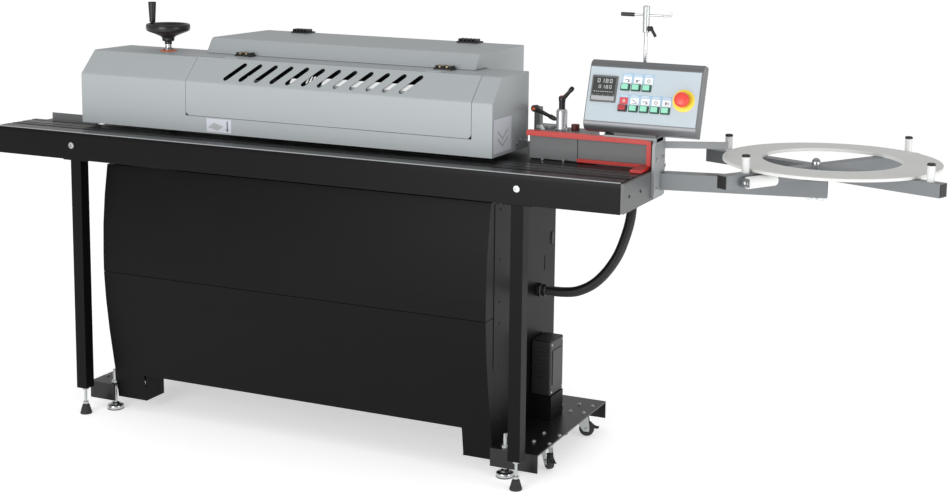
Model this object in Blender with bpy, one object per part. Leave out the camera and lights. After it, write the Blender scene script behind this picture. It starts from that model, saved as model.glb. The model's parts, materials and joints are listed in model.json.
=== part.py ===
"""Benchtop-height edge banding machine: cabinet, T-slot table, lifting hood, control box and tape tray.

Units are metres, +Z up.  The machine is drawn in table coordinates (x along the table from its
outfeed end, y from the table's front face towards the back, z from the floor) and one parent
empty shifts it so that the origin lies at the middle of the base of its bounding box.
"""
import bpy
import bmesh
import math
from mathutils import Vector, Matrix

for _o in list(bpy.data.objects):
    bpy.data.objects.remove(_o, do_unlink=True)

# ---------------------------------------------------------------- driving dimensions
OX, OY = 1.3912, 0.3495          # centre of the bounding box in table coordinates
GAP = 0.0003                     # clearance between touching pieces
TABLE_L = 2.011                  # length of the table rails
TABLE_Z = 0.870                  # work surface height
BEAM_Z = 0.7875                  # underside of the front rail
RAIL_D = 0.0745                  # depth of the front rail
RAIL_BACK = 0.1655               # back of the rear rail
CAB_X0, CAB_X1 = 0.345, 1.615    # cabinet width
CAB_Y0, CAB_Y1 = 0.112, 0.525    # side panels, front and back edge
CAB_TOP = 0.785
SEAM_Z = 0.4455                  # joint between the two front panels
SHEET = 0.0025                   # cabinet sheet
HOOD_T = 0.002                   # hood sheet
HOOD_X0, HOOD_XS, HOOD_X1 = 0.227, 0.604, 1.598
HOOD_Y0, HOOD_YT, HOOD_Y1 = 0.113, 0.178, 0.352
HOOD_Z0, HOOD_ZK, HOOD_Z1 = 0.882, 1.030, 1.097
LIFT = 0.040                     # head travel for panel thickness
DOOR_X0, DOOR_X1, DOOR_Z0 = 0.6055, 1.5345, 0.9305
LID_X0, LID_X1, LID_Y0, LID_Y1, LID_Z1 = 0.564, 1.466, 0.278, 0.610, 1.1425
WHEEL_X, WHEEL_Y = 0.434, 0.265  # handwheel and lift screw axis
PANEL_TILT = math.radians(18.0)  # control box leans back
PANEL_Y, PANEL_Z = 0.190, 0.985  # foot of the control face
PANEL_X0, PANEL_X1 = 1.8285, 2.1450
PANEL_D = 0.045
BTN_TOP_T, BTN_LOW_T = 0.1068, 0.0500
BTN_TOP_X = (1.9352, 1.9653, 1.9954)
BTN_LOW_X = (1.9349, 1.9653, 1.9955, 2.0252, 2.0548)
BTN_W, BTN_H, BTN_TRAVEL = 0.0250, 0.0180, 0.003
ESTOP_X, ESTOP_T, ESTOP_TRAVEL = 2.1015, 0.0803, 0.006
HUB_X, HUB_Y = 2.425, 0.360      # tray cross pivot
BOOM_ANG = math.radians(12.4)
BOOM_Z0, BOOM_Z1 = 0.813, 0.858
ARM_Z0, ARM_Z1, ARM_W = 0.864, 0.899, 0.035
ARM_AD, ARM_CB = math.radians(59.0), math.radians(-20.0)
RING_X, RING_Y, RING_R, RING_RI = 2.4565, 0.4050, 0.2890, 0.1845
RING_Z0, RING_Z1 = 0.8993, 0.9075
PLATE_Z0, PLATE_Z1 = 0.078, 0.082
FOOT_Y0, FOOT_Y1 = 0.103, 0.490
FOOT_XL, FOOT_XR = 0.334, 1.654
LEG_W = 0.036
LEG_XL, LEG_XR, LEG_Y = 0.283, 1.721, 0.028

frame = bpy.data.objects.new("table_frame", None)
bpy.context.scene.collection.objects.link(frame)
frame.location = (-OX, -OY, 0.0)

# ---------------------------------------------------------------- materials
_mats = {}
def mat(name, rgb, rough, metal):
    if name not in _mats:
        m = bpy.data.materials.new(name)
        m.use_nodes = True
        b = m.node_tree.nodes["Principled BSDF"]
        b.inputs["Base Color"].default_value = (*rgb, 1.0)
        b.inputs["Roughness"].default_value = rough
        b.inputs["Metallic"].default_value = metal
        _mats[name] = m
    return _mats[name]
BLACK = ("black_powder", (0.018, 0.018, 0.019), 0.45, 0.0)
ANOD = ("black_anodised", (0.02, 0.02, 0.022), 0.4, 0.6)
GREY = ("grey_paint", (0.42, 0.45, 0.47), 0.4, 0.0)
DGREY = ("dark_grey_paint", (0.16, 0.165, 0.17), 0.45, 0.0)
SILVER = ("silver_metal", (0.62, 0.63, 0.64), 0.3, 1.0)
ZINC = ("zinc_plate", (0.66, 0.67, 0.68), 0.3, 1.0)
STEEL = ("machined_steel", (0.5, 0.51, 0.52), 0.3, 1.0)
BPLAS = ("black_plastic", (0.02, 0.02, 0.02), 0.4, 0.0)
WPLAS = ("white_plastic", (0.8, 0.8, 0.78), 0.45, 0.0)
RED = ("red_paint", (0.6, 0.03, 0.02), 0.35, 0.0)
EST = ("red_plastic", (0.7, 0.03, 0.02), 0.35, 0.0)
GREEN = ("green_plastic", (0.12, 0.55, 0.38), 0.35, 0.0)
RUB = ("rubber", (0.03, 0.03, 0.03), 0.7, 0.0)

# ---------------------------------------------------------------- shape helpers
def from_bm(bm, name="tmp"):
    bmesh.ops.recalc_face_normals(bm, faces=bm.faces)
    me = bpy.data.meshes.new(name)
    bm.to_mesh(me)
    bm.free()
    ob = bpy.data.objects.new(name, me)
    bpy.context.scene.collection.objects.link(ob)
    return ob

def box(x0, x1, y0, y1, z0, z1):
    bm = bmesh.new()
    bmesh.ops.create_cube(bm, size=1.0)
    bmesh.ops.scale(bm, vec=(x1 - x0, y1 - y0, z1 - z0), verts=bm.verts)
    bmesh.ops.translate(bm, vec=((x0 + x1) / 2, (y0 + y1) / 2, (z0 + z1) / 2), verts=bm.verts)
    return from_bm(bm)

def prism(pts, axis, a, b):
    """Outline extruded along x, y or z; the outline holds the two other coordinates in order."""
    bm = bmesh.new()
    def P(p, s):
        return {"x": (s, p[0], p[1]), "y": (p[0], s, p[1]), "z": (p[0], p[1], s)}[axis]
    lo = [bm.verts.new(P(p, a)) for p in pts]
    hi = [bm.verts.new(P(p, b)) for p in pts]
    bm.faces.new(lo)
    bm.faces.new(list(reversed(hi)))
    n = len(pts)
    for i in range(n):
        bm.faces.new((lo[i], hi[i], hi[(i + 1) % n], lo[(i + 1) % n]))
    return from_bm(bm)

def turned(profile, seg, centre=(0, 0, 0), axis=(0, 0, 1)):
    """Solid of revolution: profile of (radius, height) from bottom to top, closed on the axis."""
    bm = bmesh.new()
    rings = []
    for r, h in profile:
        if r < 1e-7:
            rings.append([bm.verts.new((0, 0, h))])
        else:
            rings.append([bm.verts.new((r * math.cos(2 * math.pi * k / seg), r * math.sin(2 * math.pi * k / seg), h))
                          for k in range(seg)])
    for A, B in zip(rings, rings[1:]):
        for k in range(seg):
            j = (k + 1) % seg
            if len(A) == 1 and len(B) > 1:
                bm.faces.new((A[0], B[j], B[k]))
            elif len(B) == 1 and len(A) > 1:
                bm.faces.new((A[k], A[j], B[0]))
            elif len(A) > 1 and len(B) > 1:
                bm.faces.new((A[k], A[j], B[j], B[k]))
    if len(rings[0]) > 1:
        bm.faces.new(list(reversed(rings[0])))
    if len(rings[-1]) > 1:
        bm.faces.new(rings[-1])
    q = Vector((0, 0, 1)).rotation_difference(Vector(axis).normalized())
    bmesh.ops.transform(bm, matrix=Matrix.Translation(Vector(centre)) @ q.to_matrix().to_4x4(), verts=bm.verts)
    return from_bm(bm)

def rod(p, q, r, seg=16):
    p, q = Vector(p), Vector(q)
    return turned([(r, 0.0), (r, (q - p).length)], seg, p, q - p)

def ring(r0, r1, z0, z1, seg, centre=(0, 0, 0)):
    """Flat ring about a vertical axis."""
    bm = bmesh.new()
    loops = []
    for r, z in ((r0, z0), (r1, z0), (r1, z1), (r0, z1)):
        loops.append([bm.verts.new((centre[0] + r * math.cos(2 * math.pi * k / seg),
                                    centre[1] + r * math.sin(2 * math.pi * k / seg), centre[2] + z)) for k in range(seg)])
    for a in range(4):
        A, B = loops[a], loops[(a + 1) % 4]
        for k in range(seg):
            j = (k + 1) % seg
            bm.faces.new((A[k], A[j], B[j], B[k]))
    return from_bm(bm)

def torus(R, r, z, seg, tube, centre):
    bm = bmesh.new()
    loops = []
    for i in range(tube):
        a = 2 * math.pi * i / tube
        rr, zz = R + r * math.cos(a), z + r * math.sin(a)
        loops.append([bm.verts.new((centre[0] + rr * math.cos(2 * math.pi * k / seg),
                                    centre[1] + rr * math.sin(2 * math.pi * k / seg), zz)) for k in range(seg)])
    for a in range(tube):
        A, B = loops[a], loops[(a + 1) % tube]
        for k in range(seg):
            j = (k + 1) % seg
            bm.faces.new((A[k], A[j], B[j], B[k]))
    return from_bm(bm)

def oriented(ob, matrix):
    ob.data.transform(matrix)
    return ob

def boolean(base, other, op):
    m = base.modifiers.new("b", "BOOLEAN")
    m.operation = op
    m.solver = "EXACT"
    m.object = other
    dg = bpy.context.evaluated_depsgraph_get()
    dg.update()
    me = bpy.data.meshes.new_from_object(base.evaluated_get(dg))
    base.modifiers.clear()
    old = base.data
    base.data = me
    bpy.data.meshes.remove(old)
    bpy.data.objects.remove(other, do_unlink=True)
    return base

def join(base, *others):
    for o in others:
        boolean(base, o, "UNION")
    return base

def cut(base, *others):
    for o in others:
        boolean(base, o, "DIFFERENCE")
    return base

def node(name, ob, material, pivot=(0, 0, 0), smooth=False, bevel=0.0):
    """Names a finished solid, gives it its material and puts its origin at its pivot."""
    ob.name = name
    ob.data.name = name
    ob.data.materials.clear()
    ob.data.materials.append(mat(*material))
    ob.data.transform(Matrix.Translation(-Vector(pivot)))
    ob.location = pivot
    ob.parent = frame
    for p in ob.data.polygons:
        p.material_index = 0
    if smooth:
        ob.data.shade_smooth()
        ob.data.set_sharp_from_angle(angle=math.radians(35))
    if bevel:
        m = ob.modifiers.new("edge", "BEVEL")
        m.width = bevel
        m.segments = 1
        m.limit_method = "ANGLE"
        m.angle_limit = math.radians(40)
    return ob

def panel_point(x, t, d=0.0):
    """Point on the leaning control face: t up the face, d into the box."""
    s, c = math.sin(PANEL_TILT), math.cos(PANEL_TILT)
    return Vector((x, PANEL_Y + t * s + d * c, PANEL_Z + t * c - d * s))

PANEL_M = Matrix.Translation((0, PANEL_Y, PANEL_Z)) @ Matrix.Rotation(-PANEL_TILT, 4, "X")
# In the panel's own axes x runs along it, y into it and z up its face.

def on_panel(ob):
    return oriented(ob, PANEL_M)

# ---------------------------------------------------------------- base channels
CH_Y0, CH_YC, CH_Y1 = 0.086, 0.130, 0.600   # front of the channel beside the cabinet, front under it, back
def base_channel(x0, x1, xc0, xc1, feet_x):
    """Folded channel open downwards; only the strip beside the cabinet reaches the front foot."""
    zb, t = 0.030, 0.004
    def section(y0):
        return [(y0, zb), (y0 + t, zb), (y0 + t, PLATE_Z0), (CH_Y1 - t, PLATE_Z0), (CH_Y1 - t, zb), (CH_Y1, zb), (CH_Y1, PLATE_Z1), (y0, PLATE_Z1)]
    ob = prism(section(CH_YC), "x", xc0, xc1)
    ob = join(ob, prism(section(CH_Y0), "x", x0, x1))
    ob = cut(ob, box(x0 - 0.001 if x0 > xc0 else x0 + 0.0001, x1 - 0.0001 if x0 > xc0 else x1 + 0.001, CH_YC - 0.001, CH_YC + t + 0.001, 0.02, PLATE_Z0 - 0.0001))
    for fy in (FOOT_Y0, FOOT_Y1):
        ob = cut(ob, turned([(0.0066, 0.0), (0.0066, 0.10)], 16, (feet_x, fy, 0.02)))
    return ob
node("base_channel_left", base_channel(0.254, CAB_X0 - 0.0006, 0.260, 0.400, FOOT_XL), BLACK)
node("base_channel_right", base_channel(CAB_X1 + 0.0006, 1.758, 1.560, 1.752, FOOT_XR), BLACK)

# ---------------------------------------------------------------- cabinet
BULGE = [(0.077, 0.768), (0.062, 0.680), (0.0525, 0.590), (0.0495, 0.500), (0.0495, SEAM_Z), (0.0560, 0.360),
         (0.0690, 0.260), (0.0830, 0.180), (0.0950, 0.110), (0.1050, 0.040)]
def front_shell(lo, hi):
    """Bowed sheet panel with returned cheeks, open at the back."""
    def y_at(z):
        pts = sorted(BULGE, key=lambda p: p[1])
        for (ya, za), (yb, zb) in zip(pts, pts[1:]):
            if za <= z <= zb:
                return ya + (yb - ya) * (z - za) / (zb - za)
        return pts[0][0] if z < pts[0][1] else pts[-1][0]
    zs = [lo] + [z for _, z in sorted(BULGE, key=lambda p: p[1]) if lo + 0.004 < z < hi - 0.004] + [hi]
    out = [(y_at(z), z) for z in zs]
    outer = prism(out + [(CAB_Y0 - GAP, hi), (CAB_Y0 - GAP, lo)], "x", CAB_X0, CAB_X1)
    zi = [lo + SHEET] + [z for z in zs[1:-1]] + [hi - SHEET]
    inn = [(y_at(z) + SHEET, z) for z in zi]
    inner = prism(inn + [(CAB_Y0 + 0.01, hi - SHEET), (CAB_Y0 + 0.01, lo + SHEET)], "x", CAB_X0 + SHEET, CAB_X1 - SHEET)
    return cut(outer, inner)
node("cabinet_front_upper", front_shell(SEAM_Z + 0.0008, 0.768), BLACK)
lower = front_shell(0.040, SEAM_Z - 0.0008)
ARCH_Z = 0.123
FOOT_L_X, FOOT_R_X = 0.450, 1.525
lower = cut(lower, box(FOOT_L_X, FOOT_R_X, 0.0, 0.2, 0.0, ARCH_Z))
lower = join(lower, box(FOOT_L_X - SHEET, FOOT_L_X + 0.0001, 0.1035, 0.1900, 0.040, ARCH_Z + 0.004),
             box(FOOT_R_X - 0.0001, FOOT_R_X + SHEET, 0.1035, 0.1900, 0.040, ARCH_Z + 0.004),
             box(FOOT_L_X - SHEET, FOOT_R_X + SHEET, 0.0960, 0.1110, ARCH_Z, ARCH_Z + SHEET))
node("cabinet_front_lower", lower, BLACK)

node("cabinet_side_left", box(CAB_X0, CAB_X0 + SHEET, CAB_Y0, CAB_Y1, PLATE_Z1 + GAP, CAB_TOP), BLACK)
side_r = box(CAB_X1 - SHEET, CAB_X1, CAB_Y0, CAB_Y1, PLATE_Z1 + GAP, CAB_TOP)
side_r = join(side_r, box(CAB_X1 - 0.0005, CAB_X1 + 0.064, 0.362, 0.450, PLATE_Z1 + GAP, 0.1545))
side_r = cut(side_r, oriented(prism([(0.494, 0.572), (0.506, 0.572), (0.510, 0.580), (0.510, 0.602), (0.506, 0.610), (0.494, 0.610),
                              (0.490, 0.602), (0.490, 0.580)], "x", CAB_X1 - 0.01, CAB_X1 + 0.01), Matrix.Identity(4)))
node("cabinet_side_right", side_r, BLACK)
node("cabinet_back", box(CAB_X0 + SHEET + GAP, CAB_X1 - SHEET - GAP, CAB_Y1 - SHEET, CAB_Y1, PLATE_Z1 + GAP, CAB_TOP - 0.004), BLACK)

bed = prism([(RAIL_BACK + 0.003, 0.7858), (RAIL_BACK + 0.008, 0.7858), (RAIL_BACK + 0.008, 0.858), (CAB_Y1 - 0.005, 0.858),
             (CAB_Y1 - 0.005, 0.7858), (CAB_Y1, 0.7858), (CAB_Y1, 0.868), (RAIL_BACK + 0.003, 0.868)], "x", 0.250, 2.0105)
bed = cut(bed, box(1.8150, 2.0200, 0.3520, 0.6000, 0.7000, 0.9000))
node("bed_channel", bed, BLACK)

# ---------------------------------------------------------------- table rails, legs and end plate
def slot_profile(y0, y1, zb, slots):
    """Rail outline with undercut T-slots in its top face."""
    pts = [(y0, zb), (y1, zb), (y1, TABLE_Z)]
    for s in sorted(slots, reverse=True):
        pts += [(s + 0.0035, TABLE_Z), (s + 0.0035, TABLE_Z - 0.004), (s + 0.007, TABLE_Z - 0.004), (s + 0.007, TABLE_Z - 0.012),
                (s - 0.007, TABLE_Z - 0.012), (s - 0.007, TABLE_Z - 0.004), (s - 0.0035, TABLE_Z - 0.004), (s - 0.0035, TABLE_Z)]
    return pts
front = slot_profile(0.0, RAIL_D, BEAM_Z, [0.058]) + [(0.0035, TABLE_Z), (0.0, TABLE_Z - 0.0155)]
node("rail_front", prism(front, "x", 0.0, TABLE_L), ANOD)
rear = slot_profile(RAIL_D + 0.0025, RAIL_BACK, 0.815, [0.098, 0.142]) + [(RAIL_D + 0.0025, TABLE_Z)]
node("rail_rear", prism(rear, "x", 0.003, TABLE_L), ANOD)
node("outfeed_guide", prism([(RAIL_BACK + 0.0005, 0.8665), (0.2000, 0.8665), (0.2000, 0.8880), (0.1975, 0.8880), (0.1975, 0.8690),
                             (RAIL_BACK + 0.0005, 0.8690)], "x", 0.040, 0.2265), GREY)

def leg(x):
    h = LEG_W / 2
    ob = box(x - h, x + h, LEG_Y - h, LEG_Y + h, 0.083, BEAM_Z - GAP)
    ob = cut(ob, box(x - h + 0.0025, x + h - 0.0025, LEG_Y - h + 0.0025, LEG_Y + h - 0.0025, 0.087, 0.80))
    ob = cut(ob, turned([(0.0046, 0.0), (0.0046, 0.06)], 16, (x, LEG_Y, 0.06)))
    return ob
node("front_leg_left", leg(LEG_XL), BLACK)
node("front_leg_right", leg(LEG_XR), BLACK)
node("table_end_plate", box(TABLE_L + 0.0005, TABLE_L + 0.0105, 0.0, 0.300, 0.790, 0.868), DGREY)

# ---------------------------------------------------------------- levelling feet
def leg_foot(x):
    return turned([(0.0175, 0.0), (0.0175, 0.005), (0.0160, 0.006), (0.0150, 0.016), (0.0105, 0.029), (0.0040, 0.030), (0.0040, 0.125)], 20,
                  (x, LEG_Y, 0.0))
for nm, x in (("leg_foot_left", LEG_XL), ("leg_foot_right", LEG_XR)):
    node(nm, leg_foot(x), RUB, (x, LEG_Y, 0.0), smooth=True)
def round_foot(x, y):
    return turned([(0.0240, 0.0), (0.0250, 0.002), (0.0250, 0.013), (0.0235, 0.0155), (0.0150, 0.0165), (0.0110, 0.020), (0.0060, 0.021),
                   (0.0060, 0.125)], 24, (x, y, 0.0))
for nm, x, y in (("foot_front_left", FOOT_XL, FOOT_Y0), ("foot_front_right", FOOT_XR, FOOT_Y0),
                 ("foot_rear_left", FOOT_XL, FOOT_Y1), ("foot_rear_right", FOOT_XR, FOOT_Y1)):
    node(nm, round_foot(x, y), ZINC, (x, y, 0.0), smooth=True)

# ---------------------------------------------------------------- casters under the right channel
CASTERS = (("front", 1.727, 0.222, math.radians(-45), 0.020), ("rear", 1.719, 0.503, math.radians(15), 0.016))
WR, WW = 0.0225, 0.018           # wheel radius and width
for nm, cx, cy, ang, tr in CASTERS:
    wz = WR + 0.001
    dx, dy = math.cos(ang), math.sin(ang)
    wx, wy = cx + tr * dx, cy + tr * dy
    M = Matrix.Translation((cx, cy, 0)) @ Matrix.Rotation(ang, 4, "Z")
    side = [(-0.016, 0.0640), (0.020, 0.0640), (tr + 0.009, 0.034), (tr + 0.009, wz - 0.007), (tr - 0.008, wz - 0.007), (-0.016, 0.048)]
    fk = join(turned([(0.019, 0.0640), (0.019, 0.0775)], 20), box(-0.016, 0.020, -0.0125, 0.0125, 0.0620, 0.0660),
              prism(side, "y", 0.0100, 0.0125), prism(side, "y", -0.0125, -0.0100))
    fk = join(fk, turned([(0.0035, -0.0104), (0.0035, 0.0104)], 12, (tr, 0, wz), (0, 1, 0)))
    node("caster_fork_" + nm, oriented(fk, M), ZINC, (cx, cy, 0.07))
    wh = turned([(WR - 0.002, -WW / 2), (WR, -WW / 2 + 0.002), (WR, WW / 2 - 0.002), (WR - 0.002, WW / 2)], 28, (tr, 0, wz), (0, 1, 0))
    wh = cut(wh, turned([(0.0038, -0.02), (0.0038, 0.02)], 12, (tr, 0, wz), (0, 1, 0)))
    node("caster_wheel_" + nm, oriented(wh, M), RUB, (wx, wy, wz), smooth=True)

# ---------------------------------------------------------------- switch box and conduit
sw = box(CAB_X1 + GAP, CAB_X1 + 0.062, 0.358, 0.452, 0.155, 0.318)
node("switch_box", sw, BPLAS, bevel=0.003)

def smooth_path(pts, n):
    """Catmull-Rom through the control points, resampled evenly."""
    P = [Vector(p) for p in pts]
    P = [2 * P[0] - P[1]] + P + [2 * P[-1] - P[-2]]
    dense = []
    for i in range(1, len(P) - 2):
        for k in range(24):
            t = k / 24.0
            a, b, c, d = P[i - 1], P[i], P[i + 1], P[i + 2]
            dense.append(0.5 * ((2 * b) + (c - a) * t + (2 * a - 5 * b + 4 * c - d) * t * t + (3 * b - a - 3 * c + d) * t ** 3))
    dense.append(P[-2])
    acc = [0.0]
    for u, v in zip(dense, dense[1:]):
        acc.append(acc[-1] + (v - u).length)
    out = []
    for k in range(n):
        s = acc[-1] * k / (n - 1)
        j = max(i for i in range(len(acc)) if acc[i] <= s + 1e-12)
        if j >= len(dense) - 1:
            out.append(dense[-1])
        else:
            f = (s - acc[j]) / (acc[j + 1] - acc[j])
            out.append(dense[j].lerp(dense[j + 1], f))
    return out
CONDUIT_R = 0.0145
route = [(CAB_X1 + 0.0012, 0.405, 0.4555), (1.650, 0.405, 0.4557), (1.700, 0.400, 0.4590), (1.745, 0.390, 0.4700), (1.795, 0.378, 0.4980),
         (1.838, 0.368, 0.5400), (1.874, 0.360, 0.5930), (1.897, 0.355, 0.6480), (1.912, 0.352, 0.7020), (1.918, 0.350, 0.7600),
         (1.919, 0.350, 0.8450)]
cu = bpy.data.curves.new("conduit", "CURVE")
cu.dimensions = "3D"
cu.bevel_depth = CONDUIT_R
cu.bevel_resolution = 3
cu.use_fill_caps = True
path = smooth_path(route, 30)
sp = cu.splines.new("POLY")
sp.points.add(len(path) - 1)
for q, p in zip(sp.points, path):
    q.co = (*p, 1.0)
co = bpy.data.objects.new("conduit", cu)
bpy.context.scene.collection.objects.link(co)
co.parent = frame
cu.materials.append(mat(*BPLAS))

# ---------------------------------------------------------------- infeed end
node("infeed_fence", box(1.650, TABLE_L, 0.2455, 0.2505, 0.8705, 0.943), DGREY)
guard = join(box(1.650, 2.012, 0.2220, 0.2420, 0.9360, 0.9500), box(1.9990, 2.0120, 0.2220, 0.2420, 0.8705, 0.9430),
             box(1.9800, 2.0110, 0.1500, 0.2300, 0.8705, 0.8790), box(1.7950, 2.0050, 0.2360, 0.2440, 0.8705, 0.8800))
node("infeed_guard", guard, RED)
blk = join(box(1.652, 1.812, 0.2515, 0.360, 0.8683, 0.945), box(1.613, 1.660, 0.358, 0.380, 0.8683, 0.900), box(1.613, 1.631, 0.358, 0.380, 0.8683, 0.996))
LEVA_X, LEVA_Y, LEVA_Z = 1.722, 0.300, 1.004
blk = join(blk, turned([(0.0145, 0.9400), (0.0145, 1.0000), (0.0110, LEVA_Z)], 24, (LEVA_X, LEVA_Y, 0)))
node("tape_feed_block", blk, DGREY)
def lever(hub_len, reach, rise, r0, r1):
    """Clamping lever: hub along +Z from 0, arm out along +X."""
    hub = turned([(0.0075, 0.0), (0.0090, 0.004), (0.0095, hub_len - 0.006), (0.0070, hub_len)], 16)
    arm = rod((0.0, 0, hub_len - 0.009), (reach, 0, hub_len - 0.009 + rise), r0, 10)
    tip = turned([(0.0, -r1), (r1 * 0.8, -r1 * 0.6), (r1, 0.0), (r1 * 0.8, r1 * 0.6), (0.0, r1)], 10, (reach, 0, hub_len - 0.009 + rise))
    return join(hub, arm, tip)
la = oriented(lever(0.036, 0.030, 0.034, 0.0052, 0.0072), Matrix.Translation((LEVA_X, LEVA_Y, LEVA_Z + GAP)) @ Matrix.Rotation(math.radians(20), 4, "Z"))
node("clamp_lever_feed", la, BPLAS, (LEVA_X, LEVA_Y, LEVA_Z), smooth=True)
LEVB_X, LEVB_Z = 1.622, 0.994
LEVB_Y = 0.358
lb = lever(0.026, 0.074, 0.010, 0.0052, 0.0070)
MB = Matrix.Translation((LEVB_X, LEVB_Y - GAP, LEVB_Z)) @ Matrix.Rotation(math.radians(20), 4, "Y") @ Matrix.Rotation(math.radians(90), 4, "X")
node("clamp_lever_head", oriented(lb, MB), BPLAS, (LEVB_X, LEVB_Y, LEVB_Z), smooth=True)

# side bracket with the shelf under the control box and the tape rail
br = prism([(0.204, 0.797), (0.288, 0.797), (0.288, 0.9565), (0.216, 0.9565), (0.204, 0.936)], "x", 2.0218, 2.0298)
br = join(br, box(1.880, 2.0298, 0.2120, 0.2880, 0.9515, 0.9565), box(1.960, 2.020, 0.2430, 0.2700, 0.9560, 0.9750))
ta = math.radians(24.3)
tr_bar = oriented(box(-0.010, 0.172, -0.004, 0.004, 0.922, 0.940), Matrix.Translation((2.0285, 0.2820, 0)) @ Matrix.Rotation(ta, 4, "Z"))
br = join(br, tr_bar)
node("side_bracket", br, GREY)

# tape guide post and its cross bar
POST_X, POST_Y = 1.951, 0.330
node("guide_post", join(turned([(0.0050, 0.8683), (0.0050, 1.2980)], 16, (POST_X, POST_Y, 0)),
                        turned([(0.0140, 0.8683), (0.0140, 0.8760)], 16, (POST_X, POST_Y, 0))), SILVER, smooth=True)
cbz = 1.272
cb = turned([(0.0090, 1.2250), (0.0090, 1.2960)], 16, (POST_X, POST_Y, 0))
cb = join(cb, rod((POST_X + 0.004, POST_Y - 0.004, 1.2350), (POST_X + 0.034, POST_Y - 0.012, 1.2385), 0.0050, 10),
          rod((POST_X - 0.070, POST_Y, cbz), (POST_X + 0.072, POST_Y, cbz), 0.0028, 10),
          rod((POST_X - 0.072, POST_Y, cbz), (POST_X - 0.036, POST_Y, cbz), 0.0055, 12),
          rod((POST_X + 0.0705, POST_Y, cbz - 0.002), (POST_X + 0.0705, POST_Y, cbz + 0.010), 0.0028, 10))
cb = cut(cb, turned([(0.00525, 1.20), (0.00525, 1.31)], 16, (POST_X, POST_Y, 0)))
node("guide_crossbar", cb, SILVER, (POST_X, POST_Y, cbz), smooth=True)

# ---------------------------------------------------------------- control box
def rounded(pts_r, seg=5):
    """Outline with rounded corners from (x, y, radius) triples."""
    out = []
    n = len(pts_r)
    for i in range(n):
        x, y, r = pts_r[i]
        p = Vector((x, y))
        a = Vector(pts_r[i - 1][:2]) - p
        b = Vector(pts_r[(i + 1) % n][:2]) - p
        if r <= 0:
            out.append((x, y))
            continue
        a.normalize(); b.normalize()
        half = a.angle(b) / 2
        d = r / math.tan(half)
        c = p + (a + b).normalized() * (r / math.sin(half))
        s, e = p + a * d, p + b * d
        a0 = math.atan2(s.y - c.y, s.x - c.x)
        a1 = math.atan2(e.y - c.y, e.x - c.x)
        da = (a1 - a0 + math.pi) % (2 * math.pi) - math.pi
        for k in range(seg + 1):
            t = a0 + da * k / seg
            out.append((c.x + r * math.cos(t), c.y + r * math.sin(t)))
    return out
prof = rounded([(0.0, -0.0125, 0.022), (0.0, 0.1815, 0.022), (PANEL_D, 0.1815, 0.006), (PANEL_D, -0.0125, 0.006)])
pb = prism(prof, "x", PANEL_X0, PANEL_X1)
pockets = [box(x - BTN_W / 2 - 0.0004, x + BTN_W / 2 + 0.0004, -0.01, 0.0080, t - BTN_H / 2 - 0.0004, t + BTN_H / 2 + 0.0004)
           for t, xs in ((BTN_TOP_T, BTN_TOP_X), (BTN_LOW_T, BTN_LOW_X)) for x in xs]
pb = cut(pb, *pockets)
pb = join(pb, turned([(0.0275, -0.0005), (0.0275, 0.0020)], 28, (ESTOP_X, 0, ESTOP_T), (0, -1, 0)))
pb = cut(pb, turned([(0.0114, -0.03), (0.0114, 0.018)], 20, (ESTOP_X, 0, ESTOP_T), (0, 1, 0)))
node("control_box", on_panel(pb), SILVER)
tc = box(1.8405, 1.9125, -0.0050, -GAP, 0.0622, 0.1342)
node("temperature_controller", on_panel(tc), BPLAS, bevel=0.001)
es = turned([(0.0108, -0.0110), (0.0108, 0.0085), (0.0185, 0.0110), (0.0200, 0.0150), (0.0200, 0.0200), (0.0180, 0.0245), (0.0110, 0.0275), (0.0, 0.0282)],
            24, (ESTOP_X, 0, ESTOP_T), (0, -1, 0))
node("estop_button", on_panel(es), EST, tuple(panel_point(ESTOP_X, ESTOP_T)), smooth=True)
def button(name, x, t, material):
    b = box(x - BTN_W / 2, x + BTN_W / 2, -0.0060, 0.0045, t - BTN_H / 2, t + BTN_H / 2)
    node(name, on_panel(b), material, tuple(panel_point(x, t)))
for i, x in enumerate(BTN_TOP_X):
    button("button_top_%d" % (i + 1), x, BTN_TOP_T, GREEN)
button("button_stop", BTN_LOW_X[0], BTN_LOW_T, EST)
for i, x in enumerate(BTN_LOW_X[1:]):
    button("button_low_%d" % (i + 1), x, BTN_LOW_T, GREEN)

# ---------------------------------------------------------------- boom and tape tray
L = 0.445
boom = oriented(box(-0.412, 0.032, -0.0225, 0.0225, BOOM_Z0, BOOM_Z1), Matrix.Translation((HUB_X, HUB_Y, 0)) @ Matrix.Rotation(BOOM_ANG, 4, "Z"))
boom = cut(boom, box(1.90, 2.0302, 0.0, 0.5, 0.7, 0.9))
boom = cut(boom, turned([(0.0053, 0.0), (0.0053, 0.2)], 16, (HUB_X, HUB_Y, 0.75)))
node("tray_boom", boom, GREY)

def arm(ang, a, b):
    return oriented(box(a, b, -ARM_W / 2, ARM_W / 2, ARM_Z0, ARM_Z1), Matrix.Translation((HUB_X, HUB_Y, 0)) @ Matrix.Rotation(ang, 4, "Z"))
def along(ang, r, off=0.0):
    return (HUB_X + r * math.cos(ang) - off * math.sin(ang), HUB_Y + r * math.sin(ang) + off * math.cos(ang))
cross = join(arm(ARM_AD, -0.332, 0.385), arm(ARM_CB, -0.350, 0.374))
POST_R = {"a": -0.252, "d": 0.358, "c": -0.286, "b": 0.338}
for k, r in POST_R.items():
    px, py = along(ARM_AD if k in "ad" else ARM_CB, r)
    cross = join(cross, turned([(0.0100, ARM_Z1 - 0.001), (0.0100, ARM_Z1 + 0.042), (0.0085, ARM_Z1 + 0.044), (0.0085, ARM_Z1 + 0.047)], 16, (px, py, 0)))
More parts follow.
